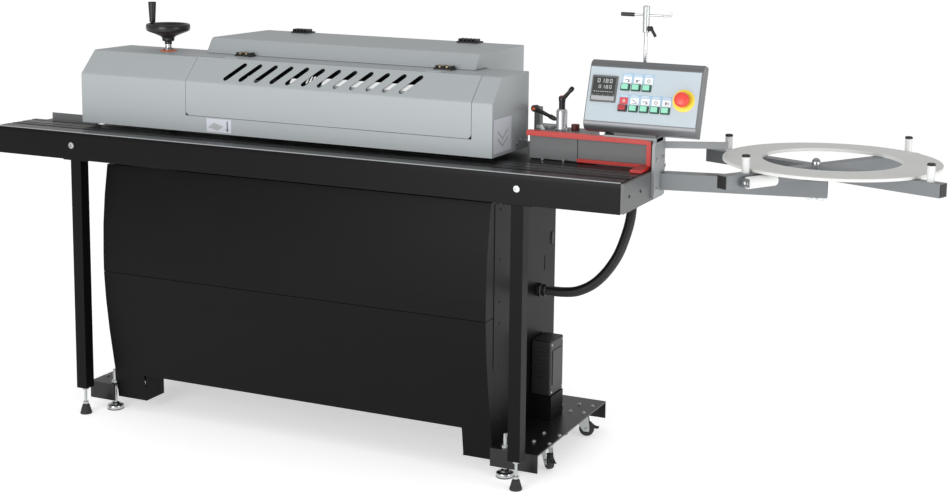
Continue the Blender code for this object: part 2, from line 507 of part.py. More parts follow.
# axle lug of the support roller beside the front arm
ROLL_OFF, ROLL_Z, ROLL_R = 0.0345, 0.8805, 0.0155
MA = Matrix.Translation((HUB_X, HUB_Y, 0)) @ Matrix.Rotation(ARM_AD, 4, "Z")
cross = join(cross, oriented(box(-0.2815, -0.2785, -0.0440, -0.0170, 0.8700, 0.8910), MA), oriented(box(-0.1815, -0.1785, -0.0440, -0.0170, 0.8700, 0.8910), MA))
cross = cut(cross, oriented(turned([(0.0043, -0.29), (0.0043, -0.17)], 12, (0, -ROLL_OFF, ROLL_Z), (1, 0, 0)), MA))
# pivot pin down through the boom, and the hub cap on top
cross = join(cross, turned([(0.0050, 0.806), (0.0050, 0.8600), (0.0110, 0.8600), (0.0110, 0.8650)], 16, (HUB_X, HUB_Y, 0)),
             turned([(0.0110, ARM_Z1 - 0.001), (0.0110, ARM_Z1 + 0.010), (0.0060, ARM_Z1 + 0.016)], 16, (HUB_X, HUB_Y, 0)))
node("tray_cross", cross, GREY, (HUB_X, HUB_Y, ARM_Z0))
roll = turned([(0.0040, -0.2860), (0.0040, -0.2780), (ROLL_R, -0.2780), (ROLL_R, -0.1820), (0.0040, -0.1820), (0.0040, -0.1740)], 20,
              (0, -ROLL_OFF, ROLL_Z), (1, 0, 0))
rx, ry = along(ARM_AD, -0.230, -ROLL_OFF)
node("tray_roller", oriented(roll, MA), WPLAS, (rx, ry, ROLL_Z), smooth=True)
node("tray_ring", ring(RING_RI, RING_R, RING_Z0, RING_Z1, 72, (RING_X, RING_Y, 0)), WPLAS, (RING_X, RING_Y, RING_Z0), smooth=True)

# ---------------------------------------------------------------- head: covers
def hood_outline(t):
    """Outer hood section, or the one t inside it."""
    k = t * math.tan(math.radians(22.5))
    return [(HOOD_Y0 + t, HOOD_Z0 - (0.02 if t else 0)), (HOOD_Y0 + t, HOOD_ZK - k), (HOOD_YT + k, HOOD_Z1 - t), (HOOD_Y1 - t, HOOD_Z1 - t),
            (HOOD_Y1 - t, HOOD_Z0 - (0.02 if t else 0))]
hl = prism(hood_outline(0), "x", HOOD_X0, HOOD_XS - 0.0004)
hl = cut(hl, prism(hood_outline(HOOD_T), "x", HOOD_X0 + HOOD_T, HOOD_XS + 0.01))
hl = cut(hl, turned([(0.0125, 1.0), (0.0125, 1.2)], 20, (WHEEL_X, WHEEL_Y, 0)))
node("hood_left", hl, GREY)
hr = prism(hood_outline(0), "x", HOOD_XS + 0.0004, HOOD_X1)
hr = cut(hr, prism(hood_outline(HOOD_T), "x", HOOD_XS - 0.01, HOOD_X1 - HOOD_T))
hr = cut(hr, box(DOOR_X0 - 0.02, DOOR_X1 + 0.0008, HOOD_Y0 - 0.01, HOOD_YT + 0.0046, DOOR_Z0 - 0.0008, HOOD_Z1 + 0.01))
node("hood_right", hr, GREY)

rh = box(LID_X0 + 0.0035, LID_X1 - 0.0035, HOOD_Y1 + 0.0005, LID_Y1 - 0.003, 0.8805, 1.1395)
rh = cut(rh, box(LID_X0 + 0.0035 + HOOD_T, LID_X1 - 0.0035 - HOOD_T, HOOD_Y1 + 0.0005 + HOOD_T, LID_Y1 - 0.003 - HOOD_T, 0.85, 1.20))
rh = cut(rh, box(LID_X0 - 0.02, LID_X1 + 0.02, HOOD_Y1 - 0.05, LID_Y1 - 0.003 - HOOD_T, 1.0960, 1.20))
node("rear_housing", rh, GREY)

# head beam under the top skin, with the hangers of the feed roller
FR_X, FR_Z, FR_R = 0.850, 0.9170, 0.030
bm_ = box(0.232, 1.590, 0.196, 0.348, 1.0760, 1.0945)
bm_ = cut(bm_, turned([(0.0088, 1.0), (0.0088, 1.2)], 16, (WHEEL_X, WHEEL_Y, 0)))
bm_ = join(bm_, box(FR_X - 0.014, FR_X + 0.014, 0.2270, 0.2310, FR_Z - 0.014, 1.0770), box(FR_X - 0.014, FR_X + 0.014, 0.1430, 0.1470, FR_Z - 0.014, 1.0280),
           box(FR_X - 0.014, FR_X + 0.014, 0.1430, 0.2310, 1.0240, 1.0280))
bm_ = cut(bm_, turned([(0.0063, 0.13), (0.0063, 0.24)], 16, (FR_X, 0, FR_Z), (0, 1, 0)))
fr = turned([(0.0060, 0.1400), (0.0060, 0.1490), (FR_R, 0.1490), (FR_R, 0.2250), (0.0060, 0.2250), (0.0060, 0.2340)], 28, (FR_X, 0, FR_Z), (0, 1, 0))
node("feed_roller", fr, RUB, (FR_X, 0.187, FR_Z), smooth=True)
TM_X, TM_Y = 1.180, 0.290
bm_ = join(bm_, turned([(0.0340, 0.9500), (0.0360, 0.9540), (0.0360, 1.0500), (0.0300, 1.0560), (0.0300, 1.0800)], 24, (TM_X, TM_Y, 0)),
           turned([(0.0036, 0.8940), (0.0036, 0.9510)], 16, (TM_X, TM_Y, 0)))
node("head_beam", bm_, DGREY)
def cutter_outline(n, r0, r1):
    pts = []
    for k in range(n):
        for f, r in ((0.0, r0), (0.30, r0), (0.42, r1), (0.78, r1), (0.82, r0)):
            a = 2 * math.pi * (k + f) / n
            pts.append((TM_X + r * math.cos(a), TM_Y + r * math.sin(a)))
    return pts
tc_ = prism(cutter_outline(6, 0.0225, 0.0290), "z", 0.8960, 0.9240)
node("trim_cutter", cut(tc_, turned([(0.0040, 0.85), (0.0040, 0.95)], 12, (TM_X, TM_Y, 0))), STEEL, (TM_X, TM_Y, 0.910))
node("lift_column", cut(turned([(0.0300, 0.8683), (0.0300, 0.8780), (0.0200, 0.8790), (0.0200, 1.0250)], 24, (WHEEL_X, WHEEL_Y, 0)),
                        turned([(0.0088, 0.9300), (0.0088, 1.0400)], 16, (WHEEL_X, WHEEL_Y, 0))), STEEL, smooth=True)

# ---------------------------------------------------------------- front door and rear lid
k = HOOD_T * math.tan(math.radians(22.5))
door_out = [(HOOD_Y0, DOOR_Z0), (HOOD_Y0, HOOD_ZK), (HOOD_YT, HOOD_Z1), (HOOD_YT + 0.0038, HOOD_Z1), (HOOD_YT + 0.0038, HOOD_Z1 - HOOD_T),
            (HOOD_YT + k, HOOD_Z1 - HOOD_T), (HOOD_Y0 + HOOD_T, HOOD_ZK - k), (HOOD_Y0 + HOOD_T, DOOR_Z0)]
dr = prism(door_out, "x", DOOR_X0, DOOR_X1)
SL = math.hypot(HOOD_YT - HOOD_Y0, HOOD_Z1 - HOOD_ZK)
ey, ez = (HOOD_YT - HOOD_Y0) / SL, (HOOD_Z1 - HOOD_ZK) / SL
SM = Matrix.Translation((0, HOOD_Y0, HOOD_ZK)) @ Matrix(((1, 0, 0, 0), (0, ey, -ez, 0), (0, ez, ey, 0), (0, 0, 0, 1)))
def slot_cutter(x0, x1, s0, s1, w):
    """Round-ended slanted slot in the plane of the door's slope."""
    a, b = Vector((x0, s0)), Vector((x1, s1))
    d = (b - a).normalized()
    nrm = Vector((-d.y, d.x))
    pts = []
    base = math.atan2(nrm.y, nrm.x)
    for i in range(5):
        t = base + math.pi - math.pi + math.pi * i / 4
        pts.append((a.x + w / 2 * math.cos(t), a.y + w / 2 * math.sin(t)))
    for i in range(5):
        t = base + math.pi + math.pi * i / 4
        pts.append((b.x + w / 2 * math.cos(t), b.y + w / 2 * math.sin(t)))
    return oriented(prism(pts, "z", -0.012, 0.006), SM)
N_SLOT = 12
for i in range(N_SLOT):
    x = 0.7365 + (1.3135 - 0.7365) * i / (N_SLOT - 1)
    dr = cut(dr, slot_cutter(x, x + 0.0400, 0.0205, 0.0725, 0.0165))
node("front_door", dr, GREY, (0.0, HOOD_YT + 0.0046, HOOD_Z1 + 0.0012))

t = HOOD_T
lid_prof = [(LID_Y0, 1.0982), (LID_Y0 + 0.030, LID_Z1), (LID_Y1, LID_Z1), (LID_Y1, 1.0500), (HOOD_Y1 + 0.0230, 1.0500),
            (HOOD_Y1 + 0.0090, 1.0800), (HOOD_Y1 + 0.0030, 1.0982)]
lid = prism(lid_prof, "x", LID_X0, LID_X1)
lid = cut(lid, prism([(LID_Y0 + 0.0024, 1.00), (LID_Y0 + 0.0024, 1.0982), (LID_Y0 + 0.0310, LID_Z1 - t), (LID_Y1 + 0.01, LID_Z1 - t), (LID_Y1 + 0.01, 1.00)], "x",
                     LID_X0 + 0.002, LID_X1 - 0.002))
node("rear_lid", lid, GREY, (0.0, LID_Y1 + 0.001, LID_Z1 + 0.001))

# ---------------------------------------------------------------- handwheel with its lift screw, and grip
RIM_Z = 1.1700
hw = turned([(0.0078, 0.9650), (0.0078, 1.0980), (0.0160, 1.0980), (0.0160, 1.1060), (0.0100, 1.1080), (0.0108, 1.1260), (0.0182, 1.1290), (0.0186, 1.1372),
             (0.0420, 1.1500), (0.0620, 1.1580), (0.0658, 1.1650), (0.0658, 1.1760), (0.0600, 1.1800), (0.0530, 1.1780), (0.0440, 1.1690), (0.0200, 1.1640)],
            40, (WHEEL_X, WHEEL_Y, 0))
node("handwheel", hw, BPLAS, (WHEEL_X, WHEEL_Y, RIM_Z), smooth=True)
GRIP_X = WHEEL_X - 0.0575
gr = turned([(0.0080, 1.1803), (0.0090, 1.1830), (0.0092, 1.1900), (0.0110, 1.2220), (0.0118, 1.2400), (0.0105, 1.2440)], 20, (GRIP_X, WHEEL_Y, 0))
node("handwheel_grip", gr, BPLAS, (GRIP_X, WHEEL_Y, 1.1803), smooth=True)
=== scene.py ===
"""Looks of the edge banding machine: finishes, small parts, camera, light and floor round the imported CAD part."""
import bpy
import bmesh
import json
import math
from mathutils import Vector, Matrix


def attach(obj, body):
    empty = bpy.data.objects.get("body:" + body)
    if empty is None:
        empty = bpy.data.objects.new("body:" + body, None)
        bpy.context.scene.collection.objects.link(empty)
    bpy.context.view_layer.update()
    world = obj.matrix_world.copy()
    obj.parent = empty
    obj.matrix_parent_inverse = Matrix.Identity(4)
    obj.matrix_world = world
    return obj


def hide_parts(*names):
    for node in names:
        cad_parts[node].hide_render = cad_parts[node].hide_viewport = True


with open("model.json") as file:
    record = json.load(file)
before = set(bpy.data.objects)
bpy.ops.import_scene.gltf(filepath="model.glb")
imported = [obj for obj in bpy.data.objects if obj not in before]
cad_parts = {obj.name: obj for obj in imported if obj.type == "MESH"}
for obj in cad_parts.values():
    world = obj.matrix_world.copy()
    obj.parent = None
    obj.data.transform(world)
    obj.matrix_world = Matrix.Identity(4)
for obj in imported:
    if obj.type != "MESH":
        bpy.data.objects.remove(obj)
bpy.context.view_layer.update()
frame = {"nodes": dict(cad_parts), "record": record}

OX, OY = 1.3912, 0.3495            # table coordinates to the object's frame
OFF = Matrix.Translation((-OX, -OY, 0.0))
TABLE_L, TABLE_Z = 2.011, 0.870
HOOD_X0, HOOD_XS, HOOD_X1 = 0.227, 0.604, 1.598
HOOD_Y0, HOOD_YT, HOOD_Y1 = 0.113, 0.178, 0.352
HOOD_Z0, HOOD_ZK, HOOD_Z1 = 0.882, 1.030, 1.097
DOOR_X0, DOOR_X1, DOOR_Z0 = 0.6055, 1.5345, 0.9305
LID_X0, LID_X1, LID_Y0, LID_Y1, LID_Z1 = 0.564, 1.466, 0.278, 0.610, 1.1425
WHEEL_X, WHEEL_Y = 0.434, 0.265
TILT = math.radians(18.0)
PANEL_Y, PANEL_Z, PANEL_X0, PANEL_X1, PANEL_D = 0.190, 0.985, 1.8285, 2.1450, 0.045
PANEL_M = Matrix.Translation((0, PANEL_Y, PANEL_Z)) @ Matrix.Rotation(-TILT, 4, "X")
BTN_TOP_T, BTN_LOW_T = 0.1068, 0.0500
BTN_TOP_X = (1.9352, 1.9653, 1.9954)
BTN_LOW_X = (1.9349, 1.9653, 1.9955, 2.0252, 2.0548)
ESTOP_X, ESTOP_T = 2.1015, 0.0803
HUB_X, HUB_Y = 2.425, 0.360
ARM_AD, ARM_CB = math.radians(59.0), math.radians(-20.0)
RING_X, RING_Y, RING_R, RING_RI, RING_Z0, RING_Z1 = 2.4565, 0.4050, 0.2890, 0.1845, 0.8993, 0.9075
BOOM_M = Matrix.Translation((HUB_X, HUB_Y, 0)) @ Matrix.Rotation(math.radians(12.4), 4, "Z")

# ------------------------------------------------------------------ finishes
def finish_mat(name, rgb, rough, metal=0.0, coat=0.0, grain=0.0, scale=300.0, mottle=0.0, streak=None, spec=None, emit=None, dust=0.0):
    """Principled finish with a noise-driven roughness and colour, a fine bump and, if asked, brushed streaks."""
    m = bpy.data.materials.new(name)
    m.use_nodes = True
    nt = m.node_tree
    b = nt.nodes["Principled BSDF"]
    b.inputs["Metallic"].default_value = metal
    b.inputs["Coat Weight"].default_value = coat
    b.inputs["Coat Roughness"].default_value = 0.25
    if spec is not None:
        b.inputs["Specular IOR Level"].default_value = spec
    if emit:
        b.inputs["Emission Color"].default_value = (*rgb, 1)
        b.inputs["Emission Strength"].default_value = emit
    tc = nt.nodes.new("ShaderNodeTexCoord")
    mp = nt.nodes.new("ShaderNodeMapping")
    mp.inputs["Scale"].default_value = streak if streak else (1, 1, 1)
    nt.links.new(tc.outputs["Object"], mp.inputs["Vector"])
    big = nt.nodes.new("ShaderNodeTexNoise")
    big.inputs["Scale"].default_value = 7.0
    big.inputs["Detail"].default_value = 4.0
    nt.links.new(mp.outputs["Vector"], big.inputs["Vector"])
    rr = nt.nodes.new("ShaderNodeMapRange")
    rr.inputs["To Min"].default_value = max(0.02, rough - 0.05)
    rr.inputs["To Max"].default_value = min(1.0, rough + 0.06)
    nt.links.new(big.outputs["Fac"], rr.inputs["Value"])
    nt.links.new(rr.outputs["Result"], b.inputs["Roughness"])
    mix = nt.nodes.new("ShaderNodeMix")
    mix.data_type = "RGBA"
    k = mottle if mottle else 0.03
    mix.inputs["A"].default_value = (*[c * (1 - k) for c in rgb], 1)
    mix.inputs["B"].default_value = (*[min(1.0, c * (1 + k) + dust) for c in rgb], 1)
    nt.links.new(big.outputs["Fac"], mix.inputs["Factor"])
    nt.links.new(mix.outputs["Result"], b.inputs["Base Color"])
    if grain:
        fine = nt.nodes.new("ShaderNodeTexNoise")
        fine.inputs["Scale"].default_value = scale
        fine.inputs["Detail"].default_value = 2.0
        nt.links.new(mp.outputs["Vector"], fine.inputs["Vector"])
        bp = nt.nodes.new("ShaderNodeBump")
        bp.inputs["Strength"].default_value = grain
        bp.inputs["Distance"].default_value = 0.0004
        nt.links.new(fine.outputs["Fac"], bp.inputs["Height"])
        nt.links.new(bp.outputs["Normal"], b.inputs["Normal"])
    return m

M = {
    "powder": finish_mat("black_powder", (0.0030, 0.0029, 0.0028), 0.40, grain=0.22, scale=900, mottle=0.15, spec=0.12),
    "powder_in": finish_mat("black_inside", (0.003, 0.003, 0.003), 0.75, grain=0.1, scale=500, spec=0.1),
    "plate": finish_mat("plate_black", (0.0080, 0.0076, 0.0076), 0.30, grain=0.12, scale=800, mottle=0.15, spec=0.45),
    "anod": finish_mat("black_anodised", (0.0028, 0.0028, 0.0028), 0.34, metal=0.0, grain=0.05, streak=(0.3, 8, 8), scale=160, spec=0.14),
    # lighter copy of the black anodised finish for the rail tops: painted sheen standing for the pale reflection on the
    # top faces
    "anod_top": finish_mat("rail_top", (0.0070, 0.0070, 0.0072), 0.26, metal=0.0, grain=0.05, streak=(0.3, 8, 8), scale=160, spec=0.42),
    "hood": finish_mat("grey_paint", (0.372, 0.400, 0.412), 0.42, grain=0.10, scale=1100, mottle=0.02, coat=0.05),
    "hood_in": finish_mat("hood_inside", (0.05, 0.052, 0.054), 0.6, grain=0.1),
    "grey": finish_mat("bracket_grey", (0.30, 0.315, 0.325), 0.38, grain=0.08, scale=900, mottle=0.03),
    "fence": finish_mat("fence_grey", (0.155, 0.160, 0.163), 0.40, grain=0.06, scale=600, mottle=0.05),
    "endplate": finish_mat("end_plate_grey", (0.115, 0.118, 0.120), 0.42, grain=0.08, mottle=0.05),
    "tube": finish_mat("tube_silver", (0.200, 0.212, 0.220), 0.34, metal=0.45, grain=0.05, streak=(0.5, 6, 6), scale=200),
    "silver": finish_mat("silver_metal", (0.66, 0.67, 0.69), 0.30, metal=0.85, grain=0.05, streak=(0.6, 5, 5), scale=240),
    "box_silver": finish_mat("box_silver", (0.170, 0.176, 0.184), 0.34, metal=0.60, grain=0.04, streak=(0.5, 4, 4), scale=300),
    "face": finish_mat("face_blue_grey", (0.50, 0.575, 0.620), 0.42, grain=0.03, mottle=0.02),
    "chrome": finish_mat("zinc_plate", (0.50, 0.51, 0.52), 0.24, metal=1.0, grain=0.03),
    "zinc": finish_mat("zinc_dull", (0.48, 0.50, 0.50), 0.34, metal=0.85, grain=0.10, scale=400, mottle=0.06),
    "steel": finish_mat("machined_steel", (0.55, 0.56, 0.57), 0.28, metal=1.0, grain=0.05, streak=(1, 1, 10), scale=200),
    "bplas": finish_mat("black_plastic", (0.0075, 0.0075, 0.0075), 0.42, grain=0.12, scale=700, mottle=0.06),
    "gloss_black": finish_mat("gloss_black", (0.0090, 0.0090, 0.0090), 0.30, spec=0.4, grain=0.06),
    "charcoal": finish_mat("charcoal", (0.022, 0.023, 0.025), 0.45, grain=0.05),
    "rubber": finish_mat("rubber", (0.022, 0.022, 0.022), 0.70, grain=0.30, scale=500, mottle=0.10),
    "white": finish_mat("white_plastic", (0.74, 0.75, 0.74), 0.45, grain=0.05, mottle=0.02),
    "ringw": finish_mat("ring_white", (0.70, 0.70, 0.68), 0.50, grain=0.05, mottle=0.03),
    "red": finish_mat("red_paint", (0.58, 0.016, 0.008), 0.34, coat=0.08, grain=0.05, scale=700, mottle=0.05),
    "dred": finish_mat("dark_red", (0.10, 0.008, 0.010), 0.38, grain=0.05),
    "estop": finish_mat("red_plastic", (0.80, 0.060, 0.045), 0.34, coat=0.2, grain=0.04, mottle=0.05),
    "stopred": finish_mat("stop_red", (0.42, 0.020, 0.030), 0.34, coat=0.2, grain=0.03),
    "yellow": finish_mat("yellow_plastic", (0.90, 0.70, 0.055), 0.38, grain=0.04, mottle=0.03),
    "green": finish_mat("green_plastic", (0.29, 0.72, 0.52), 0.30, coat=0.3, grain=0.03, mottle=0.06),
    "dgreen": finish_mat("dark_green", (0.010, 0.070, 0.045), 0.36, grain=0.04),
    "caption": finish_mat("caption_blue", (0.33, 0.50, 0.66), 0.5, grain=0.02),
    "icon": finish_mat("icon_white", (0.84, 0.85, 0.86), 0.5, grain=0.02),
    "icon_ink": finish_mat("icon_ink", (0.16, 0.15, 0.19), 0.5, grain=0.02),
    "icon_red": finish_mat("icon_red", (0.62, 0.07, 0.08), 0.45, grain=0.02),
    "digit": finish_mat("digit", (0.50, 0.52, 0.50), 0.5, grain=0.02, emit=0.25),
    "strip": finish_mat("key_strip", (0.40, 0.41, 0.42), 0.5, grain=0.02),
    "orange": finish_mat("orange_plastic", (0.78, 0.16, 0.04), 0.36, grain=0.03),
    "pure_white": finish_mat("bright_white", (0.88, 0.88, 0.88), 0.5, grain=0.02),
    "label": finish_mat("label_pale", (0.60, 0.62, 0.68), 0.5, grain=0.02),
    "brass": finish_mat("brass_pin", (0.42, 0.33, 0.20), 0.35, metal=0.9, grain=0.03),
}

# ------------------------------------------------------------------ shape helpers (all in table coordinates)
def from_bm(bm, recalc=True):
    if recalc:
        bmesh.ops.recalc_face_normals(bm, faces=bm.faces)
    me = bpy.data.meshes.new("m")
    bm.to_mesh(me)
    bm.free()
    ob = bpy.data.objects.new("o", me)
    bpy.context.scene.collection.objects.link(ob)
    return ob

def box(x0, x1, y0, y1, z0, z1):
    bm = bmesh.new()
    bmesh.ops.create_cube(bm, size=1.0)
    bmesh.ops.scale(bm, vec=(x1 - x0, y1 - y0, z1 - z0), verts=bm.verts)
    bmesh.ops.translate(bm, vec=((x0 + x1) / 2, (y0 + y1) / 2, (z0 + z1) / 2), verts=bm.verts)
    return from_bm(bm)

def prism(pts, axis, a, b):
    bm = bmesh.new()
    def P(p, s):
        return {"x": (s, p[0], p[1]), "y": (p[0], s, p[1]), "z": (p[0], p[1], s)}[axis]
    lo = [bm.verts.new(P(p, a)) for p in pts]
    hi = [bm.verts.new(P(p, b)) for p in pts]
    bm.faces.new(lo)
    bm.faces.new(list(reversed(hi)))
    n = len(pts)
    for i in range(n):
        bm.faces.new((lo[i], hi[i], hi[(i + 1) % n], lo[(i + 1) % n]))
    return from_bm(bm)

def lathe(profile, seg=32, centre=(0, 0, 0), axis=(0, 0, 1), closed=False):
    """Revolved profile of (radius, height); closed joins its last point to the first, which makes a hollow ring."""
    bm = bmesh.new()
    rings = []
    for r, h in profile:
        if r < 1e-7:
            rings.append([bm.verts.new((0, 0, h))])
        else:
            rings.append([bm.verts.new((r * math.cos(2 * math.pi * k / seg), r * math.sin(2 * math.pi * k / seg), h)) for k in range(seg)])
    pairs = list(zip(rings, rings[1:])) + ([(rings[-1], rings[0])] if closed else [])
    for A, B in pairs:
        for k in range(seg):
            j = (k + 1) % seg
            if len(A) == 1 and len(B) > 1:
                bm.faces.new((A[0], B[j], B[k]))
            elif len(B) == 1 and len(A) > 1:
                bm.faces.new((A[k], A[j], B[0]))
            elif len(A) > 1 and len(B) > 1:
                bm.faces.new((A[k], A[j], B[j], B[k]))
    if not closed:
        if len(rings[0]) > 1:
            bm.faces.new(list(reversed(rings[0])))
        if len(rings[-1]) > 1:
            bm.faces.new(rings[-1])
    q = Vector((0, 0, 1)).rotation_difference(Vector(axis).normalized())
    bmesh.ops.transform(bm, matrix=Matrix.Translation(Vector(centre)) @ q.to_matrix().to_4x4(), verts=bm.verts)
    return from_bm(bm)

def rod(p, q, r, seg=16, cham=0.0):
    p, q = Vector(p), Vector(q)
    L = (q - p).length
    prof = [(r - cham, 0.0), (r, cham), (r, L - cham), (r - cham, L)] if cham else [(r, 0.0), (r, L)]
    return lathe(prof, seg, p, q - p)

def sweep(path, radii, seg=16, up=Vector((0, 1, 0))):
    """Tube along a path with a radius at each point; ends are capped."""
    bm = bmesh.new()
    loops = []
    n = len(path)
    ref = None
    for i, p in enumerate(path):
        t = (path[min(i + 1, n - 1)] - path[max(i - 1, 0)]).normalized()
        if ref is None:
            ref = (up - t * up.dot(t)).normalized()
        else:
            ref = (ref - t * ref.dot(t)).normalized()
        s = t.cross(ref)
        loops.append([bm.verts.new(p + radii[i] * (math.cos(2 * math.pi * k / seg) * ref + math.sin(2 * math.pi * k / seg) * s)) for k in range(seg)])
    for A, B in zip(loops, loops[1:]):
        for k in range(seg):
            j = (k + 1) % seg
            bm.faces.new((A[k], A[j], B[j], B[k]))
    bm.faces.new(list(reversed(loops[0])))
    bm.faces.new(loops[-1])
    return from_bm(bm)

def oriented(ob, matrix):
    ob.data.transform(matrix)
    return ob

def merged(*obs):
    """Several meshes as one object of loose pieces."""
    bm = bmesh.new()
    for o in obs:
        bm.from_mesh(o.data)
        bpy.data.objects.remove(o, do_unlink=True)
    return from_bm(bm, recalc=False)

def boolean(base, other, op="DIFFERENCE"):
    m = base.modifiers.new("b", "BOOLEAN")
    m.operation = op
    m.solver = "EXACT"
    m.object = other
    dg = bpy.context.evaluated_depsgraph_get()
    dg.update()
    me = bpy.data.meshes.new_from_object(base.evaluated_get(dg))
    base.modifiers.clear()
    base.data = me
    bpy.data.objects.remove(other, do_unlink=True)
    return base

COUNT = {}
def put(ob, name, mat, body, replaces=(), bevel=0.0, seg=2, sharp=35.0, flat=False):
    """Finishes a piece: name, finish, edges, body it rides on and the CAD nodes it stands for."""
    COUNT[name] = COUNT.get(name, 0) + 1
    ob.name = name if COUNT[name] == 1 else "%s_%d" % (name, COUNT[name])
    ob.data.name = ob.name
    ob.data.transform(OFF)
    ob.data.materials.clear()
    ob.data.materials.append(M[mat])
    for p in ob.data.polygons:
        p.material_index = 0
    if not flat:
        ob.data.shade_smooth()
        if bevel:
            m = ob.modifiers.new("edge", "BEVEL")
            m.width = bevel
            m.segments = seg
            m.limit_method = "ANGLE"
            m.angle_limit = math.radians(32)
            m.use_clamp_overlap = True
            w = ob.modifiers.new("shade", "WEIGHTED_NORMAL")
            w.keep_sharp = True
            w.weight = 60
        else:
            ob.data.set_sharp_from_angle(angle=math.radians(sharp))
    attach(ob, body)
    if replaces:
        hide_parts(*replaces)
    return ob

BODY_OF = {}
for body, names in frame["record"]["behaviour"]["bodies"].items():
    for n in names:
        BODY_OF[n] = body

def refined(node, mat, bevel=0.0008, seg=2, sharp=35.0, dissolve=True):
    """The CAD node's own form with clean faces and softened edges, standing for the node."""
    src = frame["nodes"][node]
    bm = bmesh.new()
    bm.from_mesh(src.data)
    bmesh.ops.transform(bm, matrix=OFF.inverted() @ src.matrix_world, verts=bm.verts)
    bmesh.ops.remove_doubles(bm, verts=bm.verts, dist=1e-6)
    if dissolve:
        bmesh.ops.dissolve_limit(bm, angle_limit=math.radians(0.6), verts=bm.verts, edges=bm.edges)
    ob = from_bm(bm)
    return put(ob, node + "_look", mat, BODY_OF[node], (node,), bevel=bevel, seg=seg, sharp=sharp)

B = "machine_base"
def hexbolt(p, axis, r=0.006, h=0.004, mat="zinc", body=B, name="bolt"):
    o = lathe([(r * 1.35, 0.0), (r * 1.35, 0.0008)], 20, p, axis)
    a = lathe([(r, 0.0005), (r, h - 0.0006), (r * 0.86, h)], 6, p, axis)
    return put(merged(o, a), name, mat, body, sharp=25)

def capscrew(p, axis, r=0.008, h=0.004, mat="chrome", body=B, name="socket_screw"):
    """Socket head with a round recess."""
    head = lathe([(r, 0.0), (r, h - 0.0008), (r * 0.90, h), (r * 0.52, h), (r * 0.50, h - 0.0025), (0.0, h - 0.0025)], 28, p, axis)
    return put(head, name, mat, body, sharp=30)

def panscrew(p, axis, r=0.004, h=0.002, mat="zinc", body=B, name="screw"):
    q = lathe([(r, 0.0), (r * 0.98, h * 0.4), (r * 0.72, h * 0.85), (r * 0.35, h), (r * 0.3, h * 0.7), (0, h * 0.7)], 20, p, axis)
    return put(q, name, mat, body, sharp=50)

# ------------------------------------------------------------------ base
refined("base_channel_left", "plate", 0.0012)
refined("base_channel_right", "plate", 0.0012)
for n in ("cabinet_side_left", "cabinet_side_right", "cabinet_back"):
    refined(n, "powder", 0.0006)
for (x, y) in ((1.703, 0.259), (1.751, 0.258), (1.705, 0.184), (1.751, 0.185), (1.698, 0.536), (1.740, 0.537), (1.698, 0.466), (1.740, 0.469)):
    hexbolt((x, y, 0.0821), (0, 0, 1), 0.0046, 0.0042, "zinc", name="caster_bolt")
for (x, y) in ((0.270, 0.150), (0.318, 0.150), (0.270, 0.215), (0.318, 0.215)):
    hexbolt((x, y, 0.0821), (0, 0, 1), 0.0046, 0.0042, "zinc", name="plate_bolt")
for nm, fx, fy in (("foot_front_left", 0.334, 0.103), ("foot_front_right", 1.654, 0.103), ("foot_rear_left", 0.334, 0.490), ("foot_rear_right", 1.654, 0.490)):
    disc = lathe([(0.0, 0.0), (0.0235, 0.0), (0.0250, 0.0015), (0.0250, 0.0105), (0.0242, 0.0128), (0.0215, 0.0145), (0.0150, 0.0160), (0.0120, 0.0195),
                  (0.0095, 0.0215), (0.0060, 0.0222), (0.0060, 0.1235), (0.0050, 0.1250), (0.0, 0.1250)], 40, (fx, fy, 0))
    put(disc, nm + "_look", "chrome", nm, (nm,), sharp=32)
    put(lathe([(0.0240, 0.0), (0.0246, 0.0), (0.0253, 0.0008), (0.0253, 0.0030), (0.0240, 0.0035)], 40, (fx, fy, 0.0003), closed=True), nm + "_pad", "rubber", nm)
    for z in (0.0824, 0.0635):
        nut = lathe([(0.0064, 0.0), (0.0098, 0.0), (0.0108, 0.0008), (0.0108, 0.0080), (0.0098, 0.0090), (0.0064, 0.0090)], 6, (fx, fy, z), closed=True)
        put(nut, "foot_nut", "zinc", B, sharp=25)
    put(lathe([(0.0060, 0.0), (0.0064, 0.0004), (0.0060, 0.0008)] , 16, (fx, fy, 0.1180), closed=True), "thread_end", "zinc", nm)
    th = [Vector((fx, fy, 0.024 + 0.0985 * k / 60)) for k in range(61)]
    put(sweep(th, [0.0062 if k % 2 else 0.0056 for k in range(61)], 14, Vector((1, 0, 0))), "thread", "zinc", nm, sharp=60)

